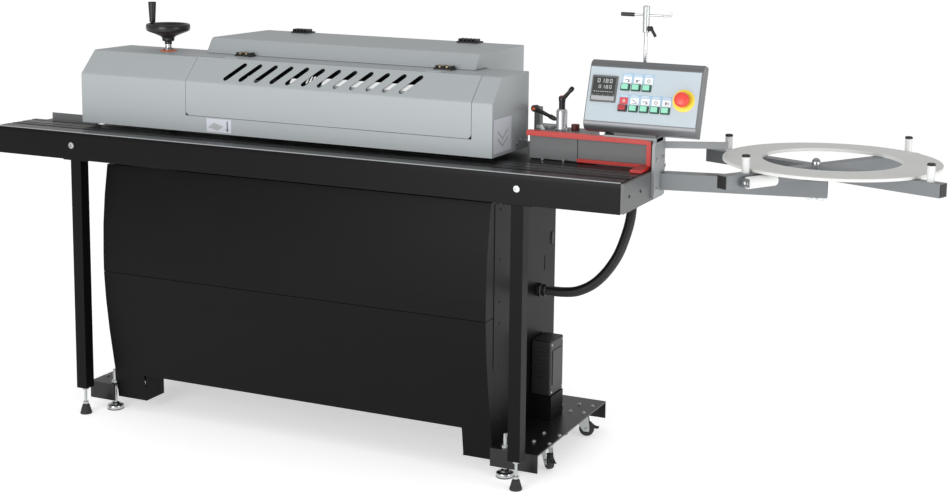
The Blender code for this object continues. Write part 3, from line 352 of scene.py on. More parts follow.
for nm, lx in (("left", 0.283), ("right", 1.721)):
    ly = 0.028
    node = "leg_foot_" + nm
    cone = [(0.0, 0.0), (0.0165, 0.0), (0.0175, 0.0010), (0.0175, 0.0045), (0.0168, 0.0058)]
    for i in range(5):
        z = 0.0065 + 0.0042 * i
        r = 0.0162 - 0.0012 * i
        cone += [(r, z), (r, z + 0.0024), (r - 0.0010, z + 0.0030), (r - 0.0012, z + 0.0040)]
    cone += [(0.0095, 0.0290), (0.0060, 0.0300), (0.0, 0.0300)]
    put(lathe(cone, 36, (lx, ly, 0)), node + "_cone", "rubber", node, (node,), sharp=25)
    th = [Vector((lx, ly, 0.0285 + 0.0960 * k / 64)) for k in range(65)]
    put(sweep(th, [0.0043 if k % 2 else 0.0037 for k in range(65)], 14, Vector((1, 0, 0))), node + "_stem", "zinc", node, sharp=60)
    put(lathe([(0.0, 0.0), (0.0075, 0.0), (0.0086, 0.0006), (0.0086, 0.0066), (0.0075, 0.0074), (0.0, 0.0074)], 6, (lx, ly, 0.0305)), node + "_nut", "zinc", node, sharp=25)
    put(lathe([(0.0047, 0.0), (0.0092, 0.0), (0.0100, 0.0006), (0.0100, 0.0070), (0.0092, 0.0076), (0.0047, 0.0076)], 6, (lx, ly, 0.0750), closed=True), "leg_nut", "zinc", B, sharp=25)
    refined("front_leg_" + nm, "powder", 0.0022, 3)
    for dx in (-0.031, 0.031):
        hexbolt((lx + dx, ly, 0.7873), (0, 0, -1), 0.0048, 0.0060, "zinc", name="leg_bolt")
    put(box(lx - 0.043, lx + 0.043, ly - 0.020, ly + 0.020, 0.7833, 0.7872), "leg_flange", "powder", B, bevel=0.0008)

# casters
for nm, cx, cy, ang, tr in (("front", 1.727, 0.222, math.radians(-45), 0.020), ("rear", 1.719, 0.503, math.radians(15), 0.016)):
    MC = Matrix.Translation((cx, cy, 0)) @ Matrix.Rotation(ang, 4, "Z")
    wr, wz = 0.0225, 0.0235
    fork, wheel = "caster_fork_" + nm, "caster_wheel_" + nm
    refined(fork, "zinc", 0.0005)
    put(oriented(lathe([(0.0185, 0.0), (0.0200, 0.0012), (0.0200, 0.0045), (0.0150, 0.0075)], 36, (0, 0, 0.0640)), MC), "swivel_race", "zinc", fork, sharp=30)
    put(oriented(box(-0.029, 0.029, -0.029, 0.029, 0.0752, 0.0774), Matrix.Translation((cx, cy, 0))), "caster_plate", "zinc", B, bevel=0.0006)
    tyre = [(0.0100, -0.0088), (wr - 0.004, -0.0088), (wr - 0.0014, -0.0078), (wr, -0.0050), (wr, 0.0050), (wr - 0.0014, 0.0078), (wr - 0.004, 0.0088), (0.0100, 0.0088)]
    put(oriented(lathe(tyre, 44, (tr, 0, wz), (0, 1, 0), closed=True), MC), wheel + "_tyre", "rubber", wheel, (wheel,), sharp=30)
    hub = [(0.0040, -0.0092), (0.0072, -0.0092), (0.0078, -0.0080), (0.0125, -0.0070), (0.0135, -0.0076), (0.0135, 0.0076), (0.0125, 0.0070), (0.0078, 0.0080), (0.0072, 0.0092), (0.0040, 0.0092)]
    put(oriented(lathe(hub, 36, (tr, 0, wz), (0, 1, 0), closed=True), MC), wheel + "_hub", "charcoal", wheel, sharp=30)
    for s in (-1, 1):
        put(oriented(lathe([(0.0058, 0.0), (0.0058, 0.0026), (0.0046, 0.0032), (0.0, 0.0032)], 6, (tr, s * 0.0125, wz), (0, s, 0)), MC), "axle_nut", "zinc", fork, sharp=25)
    tab = prism([(tr + 0.004, wz + 0.012), (tr + 0.028, wz + 0.002), (tr + 0.036, wz + 0.0035), (tr + 0.037, wz + 0.006), (tr + 0.029, wz + 0.0055), (tr + 0.008, wz + 0.017)],
                "y", -0.0085, 0.0085)
    put(oriented(tab, MC), "brake_tab", "bplas", fork, bevel=0.0006)

# ------------------------------------------------------------------ cabinet
refined("cabinet_front_upper", "powder", 0.0, sharp=25)
refined("cabinet_front_lower", "powder", 0.0, sharp=25)
put(box(1.6152, 1.6163, 0.100, 0.124, 0.300, 0.760), "cheek_strip", "powder", B, bevel=0.0004)
for z in (0.150, 0.300, 0.420, 0.480, 0.600, 0.740):
    panscrew((1.6150, 0.140, z), (1, 0, 0), 0.0036, 0.0018, "bplas", name="cabinet_screw")
    panscrew((0.3450, 0.140, z), (-1, 0, 0), 0.0036, 0.0018, "bplas", name="cabinet_screw")
latch = [(0.0075 * math.cos(2 * math.pi * k / 28) * 1.25, 0.0165 * math.sin(2 * math.pi * k / 28) * 1.12) for k in range(28)]
put(prism([(0.500 + a, 0.591 + b) for a, b in latch], "x", 1.6140, 1.6172), "latch_rim", "gloss_black", B, bevel=0.0006)
put(prism([(0.500 + a * 0.62, 0.591 + b * 0.72) for a, b in latch], "x", 1.6165, 1.6182), "latch_grip", "charcoal", B, bevel=0.0005)
put(box(1.6150, 1.6156, 0.446, 0.449, 0.505, 0.548), "side_slit", "powder_in", B, flat=True)

# switch box
refined("switch_box", "bplas", 0.0035, 3)
for i in range(7):
    z = 0.205 + 0.0125 * i
    put(box(1.624, 1.671, 0.3560, 0.3582, z, z + 0.006), "switch_rib", "bplas", B, bevel=0.0006)
for dy in (0.367, 0.443):
    for z in (0.166, 0.307):
        panscrew((1.6772, dy, z), (1, 0, 0), 0.0038, 0.0016, "zinc", name="box_screw")
put(prism([(0.372, 0.185), (0.438, 0.185), (0.438, 0.288), (0.372, 0.288)], "x", 1.6768, 1.6790), "switch_lid", "charcoal", B, bevel=0.0010)

# conduit: corrugated hose with its gland
CR = 0.0145
route = [(1.6162, 0.405, 0.4555), (1.650, 0.405, 0.4557), (1.700, 0.400, 0.4590), (1.745, 0.390, 0.4700), (1.795, 0.378, 0.4980), (1.838, 0.368, 0.5400),
         (1.874, 0.360, 0.5930), (1.897, 0.355, 0.6480), (1.912, 0.352, 0.7020), (1.918, 0.350, 0.7600), (1.919, 0.350, 0.8450)]
def dense_path(pts, n):
    P = [Vector(p) for p in pts]
    P = [2 * P[0] - P[1]] + P + [2 * P[-1] - P[-2]]
    dense = []
    for i in range(1, len(P) - 2):
        for k in range(24):
            t = k / 24.0
            a, b, c, d = P[i - 1], P[i], P[i + 1], P[i + 2]
            dense.append(0.5 * ((2 * b) + (c - a) * t + (2 * a - 5 * b + 4 * c - d) * t * t + (3 * b - a - 3 * c + d) * t ** 3))
    dense.append(P[-2])
    acc = [0.0]
    for u, v in zip(dense, dense[1:]):
        acc.append(acc[-1] + (v - u).length)
    out, j = [], 0
    for k in range(n):
        s = acc[-1] * k / (n - 1)
        while j < len(acc) - 2 and acc[j + 1] < s:
            j += 1
        f = (s - acc[j]) / max(acc[j + 1] - acc[j], 1e-9)
        out.append(dense[j].lerp(dense[j + 1], min(max(f, 0.0), 1.0)))
    return out
NP = 4 * 100 + 1
hose = dense_path(route, NP)
put(sweep(hose, [CR if (k % 4) in (0, 1) else CR - 0.0024 for k in range(NP)], 20, Vector((0, 0, 1))), "conduit_look", "bplas", B, ("conduit",), sharp=80)
put(lathe([(0.0, 0.0), (0.0205, 0.0), (0.0205, 0.010), (0.0180, 0.0125), (0.0180, 0.024), (0.0155, 0.0265), (0.0, 0.0265)], 8, (1.6153, 0.405, 0.4555), (1, 0, 0.003)),
    "gland", "bplas", B, sharp=25)

# ------------------------------------------------------------------ table
refined("rail_front", "anod", 0.0009, 2)
# the rear rail and the top skin over the front rail take the lighter anodised copy: painted sheen for the reflection on
# the tops
refined("rail_rear", "anod_top", 0.0007, 2)
put(box(0.0006, TABLE_L - 0.0006, 0.0040, 0.0535, TABLE_Z - 0.0002, TABLE_Z + 0.00015), "rail_top_skin", "anod_top", B, flat=True)
# painted highlight: a thin grey strip along the front rail's top edge stands for the light caught on that edge
put(prism([(0.0028, TABLE_Z - 0.0020), (0.0033, TABLE_Z - 0.0004), (0.0039, TABLE_Z + 0.0003), (0.0052, TABLE_Z + 0.0003), (0.0052, TABLE_Z - 0.0010)], "x", 0.0005, TABLE_L - 0.0005),
    "rail_edge", "grey", B, flat=True)
refined("bed_channel", "powder", 0.0008)
refined("table_end_plate", "endplate", 0.0010)
refined("outfeed_guide", "fence", 0.0005)
for x in (0.279, 1.724):
    capscrew((x, 0.0002, 0.830), (0, -1, 0), 0.0095, 0.0042, "chrome")
for y in (0.0385, 0.122, 0.270):
    panscrew((2.0215, y, 0.830), (1, 0, 0), 0.0045, 0.0020, "bplas", name="end_screw")

# ------------------------------------------------------------------ hood sheets with rolled bends
def bent(points, radii, seg=7):
    """Open polyline with its inner corners rolled to a radius."""
    out = []
    for i, p in enumerate(points):
        r = radii[i]
        if r <= 0 or i in (0, len(points) - 1):
            out.append(Vector(p))
            continue
        p = Vector(p)
        a = (Vector(points[i - 1]) - p).normalized()
        b = (Vector(points[i + 1]) - p).normalized()
        half = a.angle(b) / 2
        d = r / math.tan(half)
        c = p + (a + b).normalized() * (r / math.sin(half))
        s, e = p + a * d, p + b * d
        a0 = math.atan2(s.y - c.y, s.x - c.x)
        a1 = math.atan2(e.y - c.y, e.x - c.x)
        da = (a1 - a0 + math.pi) % (2 * math.pi) - math.pi
        for k in range(seg + 1):
            t = a0 + da * k / seg
            out.append(Vector((c.x + r * math.cos(t), c.y + r * math.sin(t))))
    return out

def sheet_outline(line, t):
    """Closed outline of a sheet t thick inside an open polyline walked front to back over the top."""
    inner = []
    for i, p in enumerate(line):
        d = (line[min(i + 1, len(line) - 1)] - line[max(i - 1, 0)]).normalized()
        inner.append(p + Vector((d.y, -d.x)) * t)
    return [tuple(p) for p in line] + [tuple(p) for p in reversed(inner)]

T = 0.002
full = bent([(HOOD_Y0, HOOD_Z0), (HOOD_Y0, HOOD_ZK), (HOOD_YT, HOOD_Z1), (HOOD_Y1, HOOD_Z1), (HOOD_Y1, HOOD_Z0)], [0, 0.010, 0.012, 0.004, 0])
def end_cap(x0, x1):
    return prism([tuple(p) for p in full], "x", x0, x1)
hood = prism(sheet_outline(full, T), "x", HOOD_X0 + 0.0012, HOOD_X1 - 0.0012)
hood = boolean(hood, lathe([(0.0125, 0.0), (0.0125, 0.2)], 36, (WHEEL_X, WHEEL_Y, 1.0)))
hood = boolean(hood, box(DOOR_X0 - 0.0010, DOOR_X1 + 0.0010, HOOD_Y0 - 0.01, HOOD_YT + 0.0048, DOOR_Z0 - 0.0010, HOOD_Z1 + 0.01))
hood = merged(hood, end_cap(HOOD_X0, HOOD_X0 + T), end_cap(HOOD_X1 - T, HOOD_X1))
put(hood, "hood_look", "hood", "head", ("hood_left", "hood_right"), bevel=0.0006)
# return flange and dark seal behind the door's edges
put(box(HOOD_XS + 0.002, DOOR_X1 + 0.010, HOOD_Y0 + 0.0028, HOOD_Y0 + 0.0045, DOOR_Z0 - 0.012, DOOR_Z0 + 0.006), "door_seal_low", "powder_in", "head", flat=True)
seal = sheet_outline(bent([(HOOD_Y0 + 0.003, DOOR_Z0 - 0.005), (HOOD_Y0 + 0.003, HOOD_ZK - 0.0015), (HOOD_YT + 0.001, HOOD_Z1 - 0.003), (HOOD_YT + 0.010, HOOD_Z1 - 0.003)], [0, 0.009, 0.009, 0]), 0.0015)
for x0, x1 in ((HOOD_XS + 0.0012, DOOR_X0 + 0.010), (DOOR_X1 - 0.010, DOOR_X1 + 0.008)):
    put(prism(seal, "x", x0, x1), "door_seal", "powder_in", "head", flat=True)

# front door with its slots
door_line = bent([(HOOD_Y0, DOOR_Z0), (HOOD_Y0, HOOD_ZK), (HOOD_YT, HOOD_Z1), (HOOD_YT + 0.0040, HOOD_Z1)], [0, 0.010, 0.003, 0])
door = prism(sheet_outline(door_line, 0.0013), "x", DOOR_X0, DOOR_X1)
# rounded lower corners
R = 0.014
for x, sx in ((DOOR_X0, 1), (DOOR_X1, -1)):
    pts = [(x - sx * 0.004, DOOR_Z0 - 0.004), (x + sx * R, DOOR_Z0 - 0.004), (x + sx * R, DOOR_Z0)]
    for k in range(1, 9):
        a = math.pi / 2 * k / 8
        pts.append((x + sx * (R - R * math.sin(a)), DOOR_Z0 + R - R * math.cos(a)))
    pts.append((x - sx * 0.004, DOOR_Z0 + R))
    door = boolean(door, prism(pts, "y", HOOD_Y0 - 0.01, HOOD_Y0 + 0.01))
SL = math.hypot(HOOD_YT - HOOD_Y0, HOOD_Z1 - HOOD_ZK)
ey, ez = (HOOD_YT - HOOD_Y0) / SL, (HOOD_Z1 - HOOD_ZK) / SL
SM = Matrix.Translation((0, HOOD_Y0, HOOD_ZK)) @ Matrix(((1, 0, 0, 0), (0, ey, -ez, 0), (0, ez, ey, 0), (0, 0, 0, 1)))
def slot_outline(x0, x1, s0, s1, w, n=8):
    a, b = Vector((x0, s0)), Vector((x1, s1))
    d = (b - a).normalized()
    base = math.atan2(d.x, -d.y)
    pts = []
    for c, st in ((a, base), (b, base + math.pi)):
        for i in range(n + 1):
            t = st + math.pi * i / n
            pts.append((c.x + w / 2 * math.cos(t), c.y + w / 2 * math.sin(t)))
    return pts
N_SLOT = 12
SLOT_A, SLOT_B, SLOT_DX, SLOT_S0, SLOT_S1, SLOT_W = 0.7365, 1.3135, 0.0400, 0.0205, 0.0725, 0.0165
for i in range(N_SLOT):
    x = SLOT_A + (SLOT_B - SLOT_A) * i / (N_SLOT - 1)
    door = boolean(door, oriented(prism(slot_outline(x, x + SLOT_DX, SLOT_S0, SLOT_S1, SLOT_W), "z", -0.012, 0.006), SM))
put(door, "front_door_look", "hood", "front_door", ("front_door",), bevel=0.0005)
for xa, xb in ((0.692, 0.746), (1.354, 1.412)):
    put(rod((xa + 0.004, 0.1826, 1.0982), (xb - 0.004, 0.1826, 1.0982), 0.0016, 16, 0.0003), "door_hinge_pin", "hood", "front_door", sharp=40)
    put(box(xa + 0.002, xb - 0.002, 0.1866, 0.2360, 1.0970, 1.0984), "door_hinge_strap", "hood", "head", bevel=0.0005)
    put(box(xa, xb, 0.2360, 0.2700, 1.0970, 1.1030), "door_hinge_plate", "bplas", "head", bevel=0.0014)
    for k in range(5):
        c = xa + (xb - xa) * (0.12 + 0.19 * k)
        put(box(c - 0.0036, c + 0.0036, 0.2400, 0.2680, 1.1026, 1.1090), "door_hinge_rib", "brass" if k in (1, 3) else "bplas", "head", bevel=0.0014)

# ------------------------------------------------------------------ rear housing and lid
refined("rear_housing", "hood", 0.0006)
lid_line = bent([(LID_Y0, 1.0984), (LID_Y0 + 0.030, LID_Z1), (LID_Y1, LID_Z1)], [0, 0.012, 0])
lid = merged(prism(sheet_outline(lid_line, T), "x", LID_X0 + 0.001, LID_X1 - 0.001),
             *[prism([(LID_Y0 + 0.0006, 1.0984), (LID_Y0 + 0.0262, LID_Z1 - 0.0060), (LID_Y0 + 0.0345, LID_Z1 - 0.0004), (LID_Y1 - 0.0004, LID_Z1 - 0.0004), (LID_Y1 - 0.0004, 1.0500),
                       (HOOD_Y1 + 0.0230, 1.0500), (HOOD_Y1 + 0.0090, 1.0800), (HOOD_Y1 + 0.0030, 1.0984)], "x", a, b)
               for a, b in ((LID_X0, LID_X0 + T), (LID_X1 - T, LID_X1))])
put(lid, "rear_lid_look", "hood", "rear_lid", ("rear_lid",), bevel=0.0007)
put(box(LID_X0 + 0.004, LID_X1 - 0.004, LID_Y0 + 0.0012, LID_Y0 + 0.0045, 1.0984, 1.1006), "lid_lip", "label", "rear_lid", bevel=0.0004)
for xa, xb in ((0.680, 0.740), (1.262, 1.330)):
    put(box(xa, xb, LID_Y1 - 0.046, LID_Y1 - 0.003, LID_Z1, LID_Z1 + 0.0050), "lid_hinge_leaf", "bplas", "rear_lid", bevel=0.0014)
    put(rod((xa, LID_Y1 - 0.0005, LID_Z1 + 0.0010), (xb, LID_Y1 - 0.0005, LID_Z1 + 0.0010), 0.0036, 16, 0.0006), "lid_hinge_barrel", "bplas", "head", sharp=40)
    for k in range(5):
        c = xa + (xb - xa) * (0.12 + 0.19 * k)
        put(box(c - 0.0040, c + 0.0040, LID_Y1 - 0.042, LID_Y1 - 0.010, LID_Z1 + 0.0046, LID_Z1 + 0.0125), "lid_hinge_rib", "bplas", "rear_lid", bevel=0.0016)

# hood end: screws and a plain plate
for y, z in ((0.288, 1.002), (0.275, 0.902), (0.334, 0.901), (0.300, 0.907)):
    panscrew((HOOD_X1, y, z), (1, 0, 0), 0.0042, 0.0022, "zinc", "head")
put(box(HOOD_X1, HOOD_X1 + 0.0006, 0.122, 0.236, 0.892, 0.985), "end_label", "label", "head", bevel=0.0002)
for k in range(2):
    z = 0.905 + 0.020 * k
    chev = prism([(0.148, z + 0.022), (0.179, z), (0.210, z + 0.022), (0.210, z + 0.029), (0.179, z + 0.007), (0.148, z + 0.029)], "x", HOOD_X1 + 0.0005, HOOD_X1 + 0.0010)
    put(chev, "end_chevron", "strip", "head", flat=True)

pale = [box(1.052, 1.372, 0.0270, 0.0500, -0.0068, -0.0058), box(0.948, 0.985, 0.0250, 0.0420, -0.0068, -0.0058)]
put(oriented(merged(*pale), SM), "tape_channel_cover", "pure_white", "head", bevel=0.0003)
for k in range(5):
    put(oriented(box(1.000 + 0.0095 * k, 1.0045 + 0.0095 * k, 0.0280, 0.0540, -0.0072, -0.0052), SM), "comb_tooth", "pure_white", "head", bevel=0.0004)
put(oriented(box(1.052, 1.372, 0.0190, 0.0272, -0.0076, -0.0060), SM), "channel_rule", "grey", "head", bevel=0.0003)

put(box(0.678, 0.763, HOOD_Y0 - 0.0006, HOOD_Y0, 0.887, 0.926), "feed_sign", "label", "head", bevel=0.0002)
arrow = prism([(0.7500, 0.8895), (0.7555, 0.8980), (0.7520, 0.8980), (0.7520, 0.9220), (0.7480, 0.9220), (0.7480, 0.8980), (0.7445, 0.8980)], "y", HOOD_Y0 - 0.0010, HOOD_Y0 - 0.0005)
put(arrow, "feed_arrow", "icon_ink", "head", flat=True)
put(prism([(0.684, 0.900), (0.716, 0.892), (0.736, 0.905), (0.704, 0.915)], "y", HOOD_Y0 - 0.0009, HOOD_Y0 - 0.0005), "feed_panel_glyph", "strip", "head", flat=True)

# ------------------------------------------------------------------ inside the head
refined("head_beam", "charcoal", 0.0008)
refined("lift_column", "steel", 0.0, sharp=35)
refined("trim_cutter", "steel", 0.0003)
fr = [(0.0060, -0.0470), (0.0060, -0.0380), (0.0285, -0.0380), (0.0300, -0.0365)]
for i in range(12):
    y = -0.0350 + 0.0060 * i
    fr += [(0.0300, y), (0.0300, y + 0.0040), (0.0290, y + 0.0048), (0.0290, y + 0.0052)]
fr += [(0.0300, 0.0370), (0.0285, 0.0380), (0.0060, 0.0380), (0.0060, 0.0470), (0.0, 0.0470)]
put(lathe([(0.0, -0.0470)] + fr, 40, (0.850, 0.187, 0.917), (0, 1, 0)), "feed_roller_look", "rubber", "feed_roller", ("feed_roller",), sharp=30)
put(rod((0.66, 0.172, 1.018), (1.50, 0.172, 1.018), 0.0090, 20, 0.001), "air_pipe", "white", "head", sharp=40)
put(box(0.64, 1.52, 0.182, 0.194, 1.0400, 1.0740), "beam_front", "powder_in", "head", bevel=0.001)
for i in range(10):
    x = 0.700 + 0.083 * i
    put(merged(box(x, x + 0.030, 0.150, 0.186, 1.026, 1.038), lathe([(0.008, 0.0), (0.008, 0.014), (0.006, 0.018), (0.0, 0.018)], 16, (x + 0.015, 0.160, 1.034))),
        "inner_valve", "white" if i % 3 == 1 else "bplas", "head", bevel=0.0006)

# ------------------------------------------------------------------ handwheel
dish = [(0.0, 1.1180), (0.0100, 1.1180), (0.0108, 1.1190), (0.0108, 1.1260), (0.0165, 1.1272), (0.0182, 1.1300), (0.0186, 1.1372), (0.0230, 1.1420), (0.0420, 1.1500), (0.0590, 1.1565), (0.0640, 1.1600),
        (0.0658, 1.1650), (0.0658, 1.1745), (0.0640, 1.1785), (0.0600, 1.1800), (0.0545, 1.1785), (0.0510, 1.1735), (0.0440, 1.1690), (0.0240, 1.1640), (0.0180, 1.1655), (0.0160, 1.1675), (0.0, 1.1680)]
wheel = lathe(dish, 72, (WHEEL_X, WHEEL_Y, 0))
put(wheel, "handwheel_look", "gloss_black", "handwheel", ("handwheel",), sharp=28)
put(lathe([(0.0, 0.9650), (0.0078, 0.9650), (0.0078, 1.0978), (0.0155, 1.0980), (0.0160, 1.0990), (0.0160, 1.1050), (0.0150, 1.1060), (0.0095, 1.1075), (0.0095, 1.1185), (0.0, 1.1185)], 32,
          (WHEEL_X, WHEEL_Y, 0)), "lift_screw_look", "steel", "handwheel", sharp=30)
put(lathe([(0.0180, 0.0), (0.0250, 0.0), (0.0250, 0.0020), (0.0235, 0.0030), (0.0180, 0.0030)], 36, (WHEEL_X, WHEEL_Y, 1.0972), closed=True), "wheel_collar", "orange", "head", sharp=30)
put(lathe([(0.0, 0.0), (0.0062, 0.0), (0.0062, 0.0035), (0.0050, 0.0045), (0.0, 0.0045)], 6, (WHEEL_X, WHEEL_Y, 1.1675)), "hub_nut", "zinc", "handwheel", sharp=25)
gx = WHEEL_X - 0.0575
put(lathe([(0.0, 1.1805), (0.0070, 1.1805), (0.0085, 1.1815), (0.0090, 1.1840), (0.0092, 1.1900), (0.0100, 1.2050), (0.0110, 1.2220), (0.0118, 1.2380), (0.0118, 1.2420), (0.0108, 1.2438),
           (0.0, 1.2440)], 36, (gx, WHEEL_Y, 0)), "grip_look", "gloss_black", "handwheel_grip", ("handwheel_grip",), sharp=40)
# ------------------------------------------------------------------ infeed end
refined("infeed_guard", "red", 0.0014, 3)
refined("infeed_fence", "fence", 0.0005)
put(box(1.7925, 1.7937, 0.2444, 0.2456, 0.8712, 0.9425), "fence_seam", "powder_in", B, flat=True)
for x, y in ((1.698, 0.224), (1.758, 0.230)):
    put(lathe([(0.0, 0.0), (0.0042, 0.0), (0.0042, 0.0050), (0.0032, 0.0064), (0.0, 0.0064)], 20, (x, y, 0.8690)), "stop_pin", "chrome", B, sharp=30)
refined("tape_feed_block", "fence", 0.0012)
put(lathe([(0.0, 0.9440), (0.0146, 0.9440), (0.0146, 0.9925), (0.0138, 0.9955), (0.0118, 0.9990), (0.0104, 1.0002), (0.0104, 1.0040), (0.0, 1.0040)], 40, (1.722, 0.300, 0)), "clamp_post_look", "tube", B, sharp=40)
def lever_look(node, matrix, hub_len, reach, rise, cap="orange"):
    z = hub_len - 0.009
    put(oriented(lathe([(0.0, 0.0), (0.0078, 0.0), (0.0086, 0.0010), (0.0088, hub_len * 0.55), (0.0098, hub_len * 0.66), (0.0098, hub_len - 0.004), (0.0085, hub_len - 0.001), (0.0060, hub_len), (0.0, hub_len)], 28),
                 matrix), node + "_hub", "bplas", node, (node,), sharp=35)
    n = 12
    path = [Vector((reach * t, 0, z + rise * (t ** 1.15))) for t in [k / n for k in range(n + 1)]]
    rad = [0.0070 - 0.0022 * math.sin(math.pi * 0.5 * k / n) + (0.0018 if k > n - 4 else 0) for k in range(n + 1)]
    rad[-1] = 0.0042
    put(oriented(sweep(path, rad, 16, Vector((0, 1, 0))), matrix), node + "_arm", "bplas", node, sharp=50)
    put(oriented(lathe([(0.0, 0.0), (0.0050, 0.0), (0.0050, 0.0012), (0.0040, 0.0018), (0.0, 0.0018)], 20, (0, 0, hub_len - 0.0006)), matrix), node + "_cap", cap, node, sharp=30)
lever_look("clamp_lever_feed", Matrix.Translation((1.722, 0.300, 1.0043)) @ Matrix.Rotation(math.radians(20), 4, "Z"), 0.036, 0.030, 0.034)
lever_look("clamp_lever_head", Matrix.Translation((1.622, 0.3577, 0.994)) @ Matrix.Rotation(math.radians(20), 4, "Y") @ Matrix.Rotation(math.radians(90), 4, "X"), 0.026, 0.074, 0.010)
kn = [(0.0, 0.0), (0.0110, 0.0), (0.0118, 0.0012)]
put(lathe(kn + [(0.0118, 0.0150), (0.0105, 0.0170), (0.0, 0.0170)], 24, (1.757, 0.315, 0.9452)), "red_knob", "dred", B, sharp=30)
put(lathe([(0.0, 0.0), (0.0060, 0.0), (0.0060, 0.0080), (0.0, 0.0080)], 16, (1.742, 0.292, 0.9452)), "knob_nut", "zinc", B, sharp=30)
put(oriented(box(-0.010, 0.010, -0.0025, 0.0025, 0.0, 0.0100), Matrix.Translation((1.672, 0.278, 0.9450)) @ Matrix.Rotation(math.radians(-35), 4, "Z") @ Matrix.Rotation(math.radians(30), 4, "Y")),
    "white_finger", "white", B, bevel=0.0006)
put(box(1.645, 1.690, 0.300, 0.345, 0.9450, 0.9540), "feed_cover", "grey", B, bevel=0.0012)

# side bracket, curved cradle and the black stay under the control box
refined("side_bracket", "grey", 0.0008)
cr = [(1.9000, 0.9560), (1.9620, 0.9560), (2.0298, 0.9440), (2.0298, 0.9565), (2.0250, 0.9640), (2.0100, 0.9700), (1.9600, 0.9740), (1.9000, 0.9740)]
put(prism(cr, "y", 0.2160, 0.2700), "cradle", "endplate", B, bevel=0.0015)
put(prism([(0.2120, 0.9560), (0.2200, 0.9560), (0.2300, 0.9720), (0.2220, 0.9720)], "x", 1.8830, 1.9080), "stay", "bplas", B, bevel=0.0008)
for y, z in ((0.222, 0.820), (0.270, 0.820), (0.222, 0.900), (0.270, 0.900)):
    capscrew((2.0298, y, z), (1, 0, 0), 0.0050, 0.0030, "chrome")

# guide post
put(lathe([(0.0, 0.8683), (0.0135, 0.8683), (0.0140, 0.8690), (0.0140, 0.8750), (0.0130, 0.8760), (0.0050, 0.8762), (0.0050, 1.2970), (0.0040, 1.2980), (0.0, 1.2980)], 28, (1.951, 0.330, 0)),
    "guide_post_look", "chrome", B, ("guide_post",), sharp=32)
gb = "guide_crossbar"
put(lathe([(0.0052, 1.2250), (0.0082, 1.2250), (0.0090, 1.2260), (0.0090, 1.2950), (0.0082, 1.2960), (0.0052, 1.2960)], 28, (1.951, 0.330, 0), closed=True), "crossbar_hub", "zinc", gb, (gb,), sharp=32)
tip = [Vector((1.951 - 0.038, 0.330, 1.272)), Vector((1.951 + 0.060, 0.330, 1.272)), Vector((1.951 + 0.0680, 0.330, 1.2725)), Vector((1.951 + 0.0705, 0.330, 1.2750)), Vector((1.951 + 0.0710, 0.330, 1.2820))]
put(sweep(tip, [0.0028] * 5, 14), "crossbar_rod", "steel", gb, sharp=60)
put(rod((1.951 - 0.072, 0.330, 1.272), (1.951 - 0.034, 0.330, 1.272), 0.0055, 20, 0.0008), "crossbar_sleeve", "charcoal", gb, sharp=35)
put(oriented(merged(lathe([(0.0, 0.0), (0.0066, 0.0), (0.0066, 0.010), (0.0050, 0.0125), (0.0, 0.0125)], 20, (0, 0, 0)),
                    rod((0.0, 0, 0.008), (0.0240, 0, 0.0165), 0.0042, 14, 0.0012)), Matrix.Translation((1.959, 0.3265, 1.2350)) @ Matrix.Rotation(math.radians(78), 4, "Y")),
    "crossbar_lever", "bplas", gb, sharp=35)

# ------------------------------------------------------------------ control box
def rounded(pts_r, seg=10):
    out = []
    n = len(pts_r)
    for i in range(n):
        x, y, r = pts_r[i]
        p = Vector((x, y))
        a = Vector(pts_r[i - 1][:2]) - p
        b = Vector(pts_r[(i + 1) % n][:2]) - p
        if r <= 0:
            out.append((x, y))
            continue
        a.normalize(); b.normalize()
        half = a.angle(b) / 2
        d = r / math.tan(half)
        c = p + (a + b).normalized() * (r / math.sin(half))
        s, e = p + a * d, p + b * d
        a0 = math.atan2(s.y - c.y, s.x - c.x)
        a1 = math.atan2(e.y - c.y, e.x - c.x)
        da = (a1 - a0 + math.pi) % (2 * math.pi) - math.pi
        for k in range(seg + 1):
            t = a0 + da * k / seg
            out.append((c.x + r * math.cos(t), c.y + r * math.sin(t)))
    return out
prof = rounded([(0.0, -0.0125, 0.022), (0.0, 0.1815, 0.022), (PANEL_D, 0.1815, 0.006), (PANEL_D, -0.0125, 0.006)])
shell = prism(prof, "x", PANEL_X0, PANEL_X1)
pk = [box(x - 0.0129, x + 0.0129, -0.01, 0.0115, t - 0.0094, t + 0.0094) for t, xs in ((BTN_TOP_T, BTN_TOP_X), (BTN_LOW_T, BTN_LOW_X)) for x in xs]
for c in pk:
    shell = boolean(shell, c)
shell = boolean(shell, lathe([(0.0114, -0.03), (0.0114, 0.018)], 28, (ESTOP_X, 0, ESTOP_T), (0, 1, 0)))
put(oriented(shell, PANEL_M), "control_box_look", "box_silver", B, ("control_box",), bevel=0.0024, seg=3)
facep = box(PANEL_X0 + 0.0030, PANEL_X1 - 0.0030, -0.0004, 0.0010, 0.0112, 0.1580)
for x, t in [(x, BTN_TOP_T) for x in BTN_TOP_X] + [(x, BTN_LOW_T) for x in BTN_LOW_X]:
    facep = boolean(facep, box(x - 0.0130, x + 0.0130, -0.01, 0.0100, t - 0.0095, t + 0.0095))
facep = boolean(facep, lathe([(0.0114, -0.03), (0.0114, 0.018)], 28, (ESTOP_X, 0, ESTOP_T), (0, 1, 0)))
put(oriented(facep, PANEL_M), "face_plate", "face", B, flat=True)
put(oriented(lathe([(0.0116, -0.0003), (0.0290, -0.0003), (0.0300, 0.0004), (0.0300, 0.0012), (0.0285, 0.0020), (0.0150, 0.0018), (0.0116, 0.0010)], 56, (ESTOP_X, 0, ESTOP_T), (0, -1, 0), closed=True), PANEL_M),
    "estop_collar", "yellow", B, sharp=30)
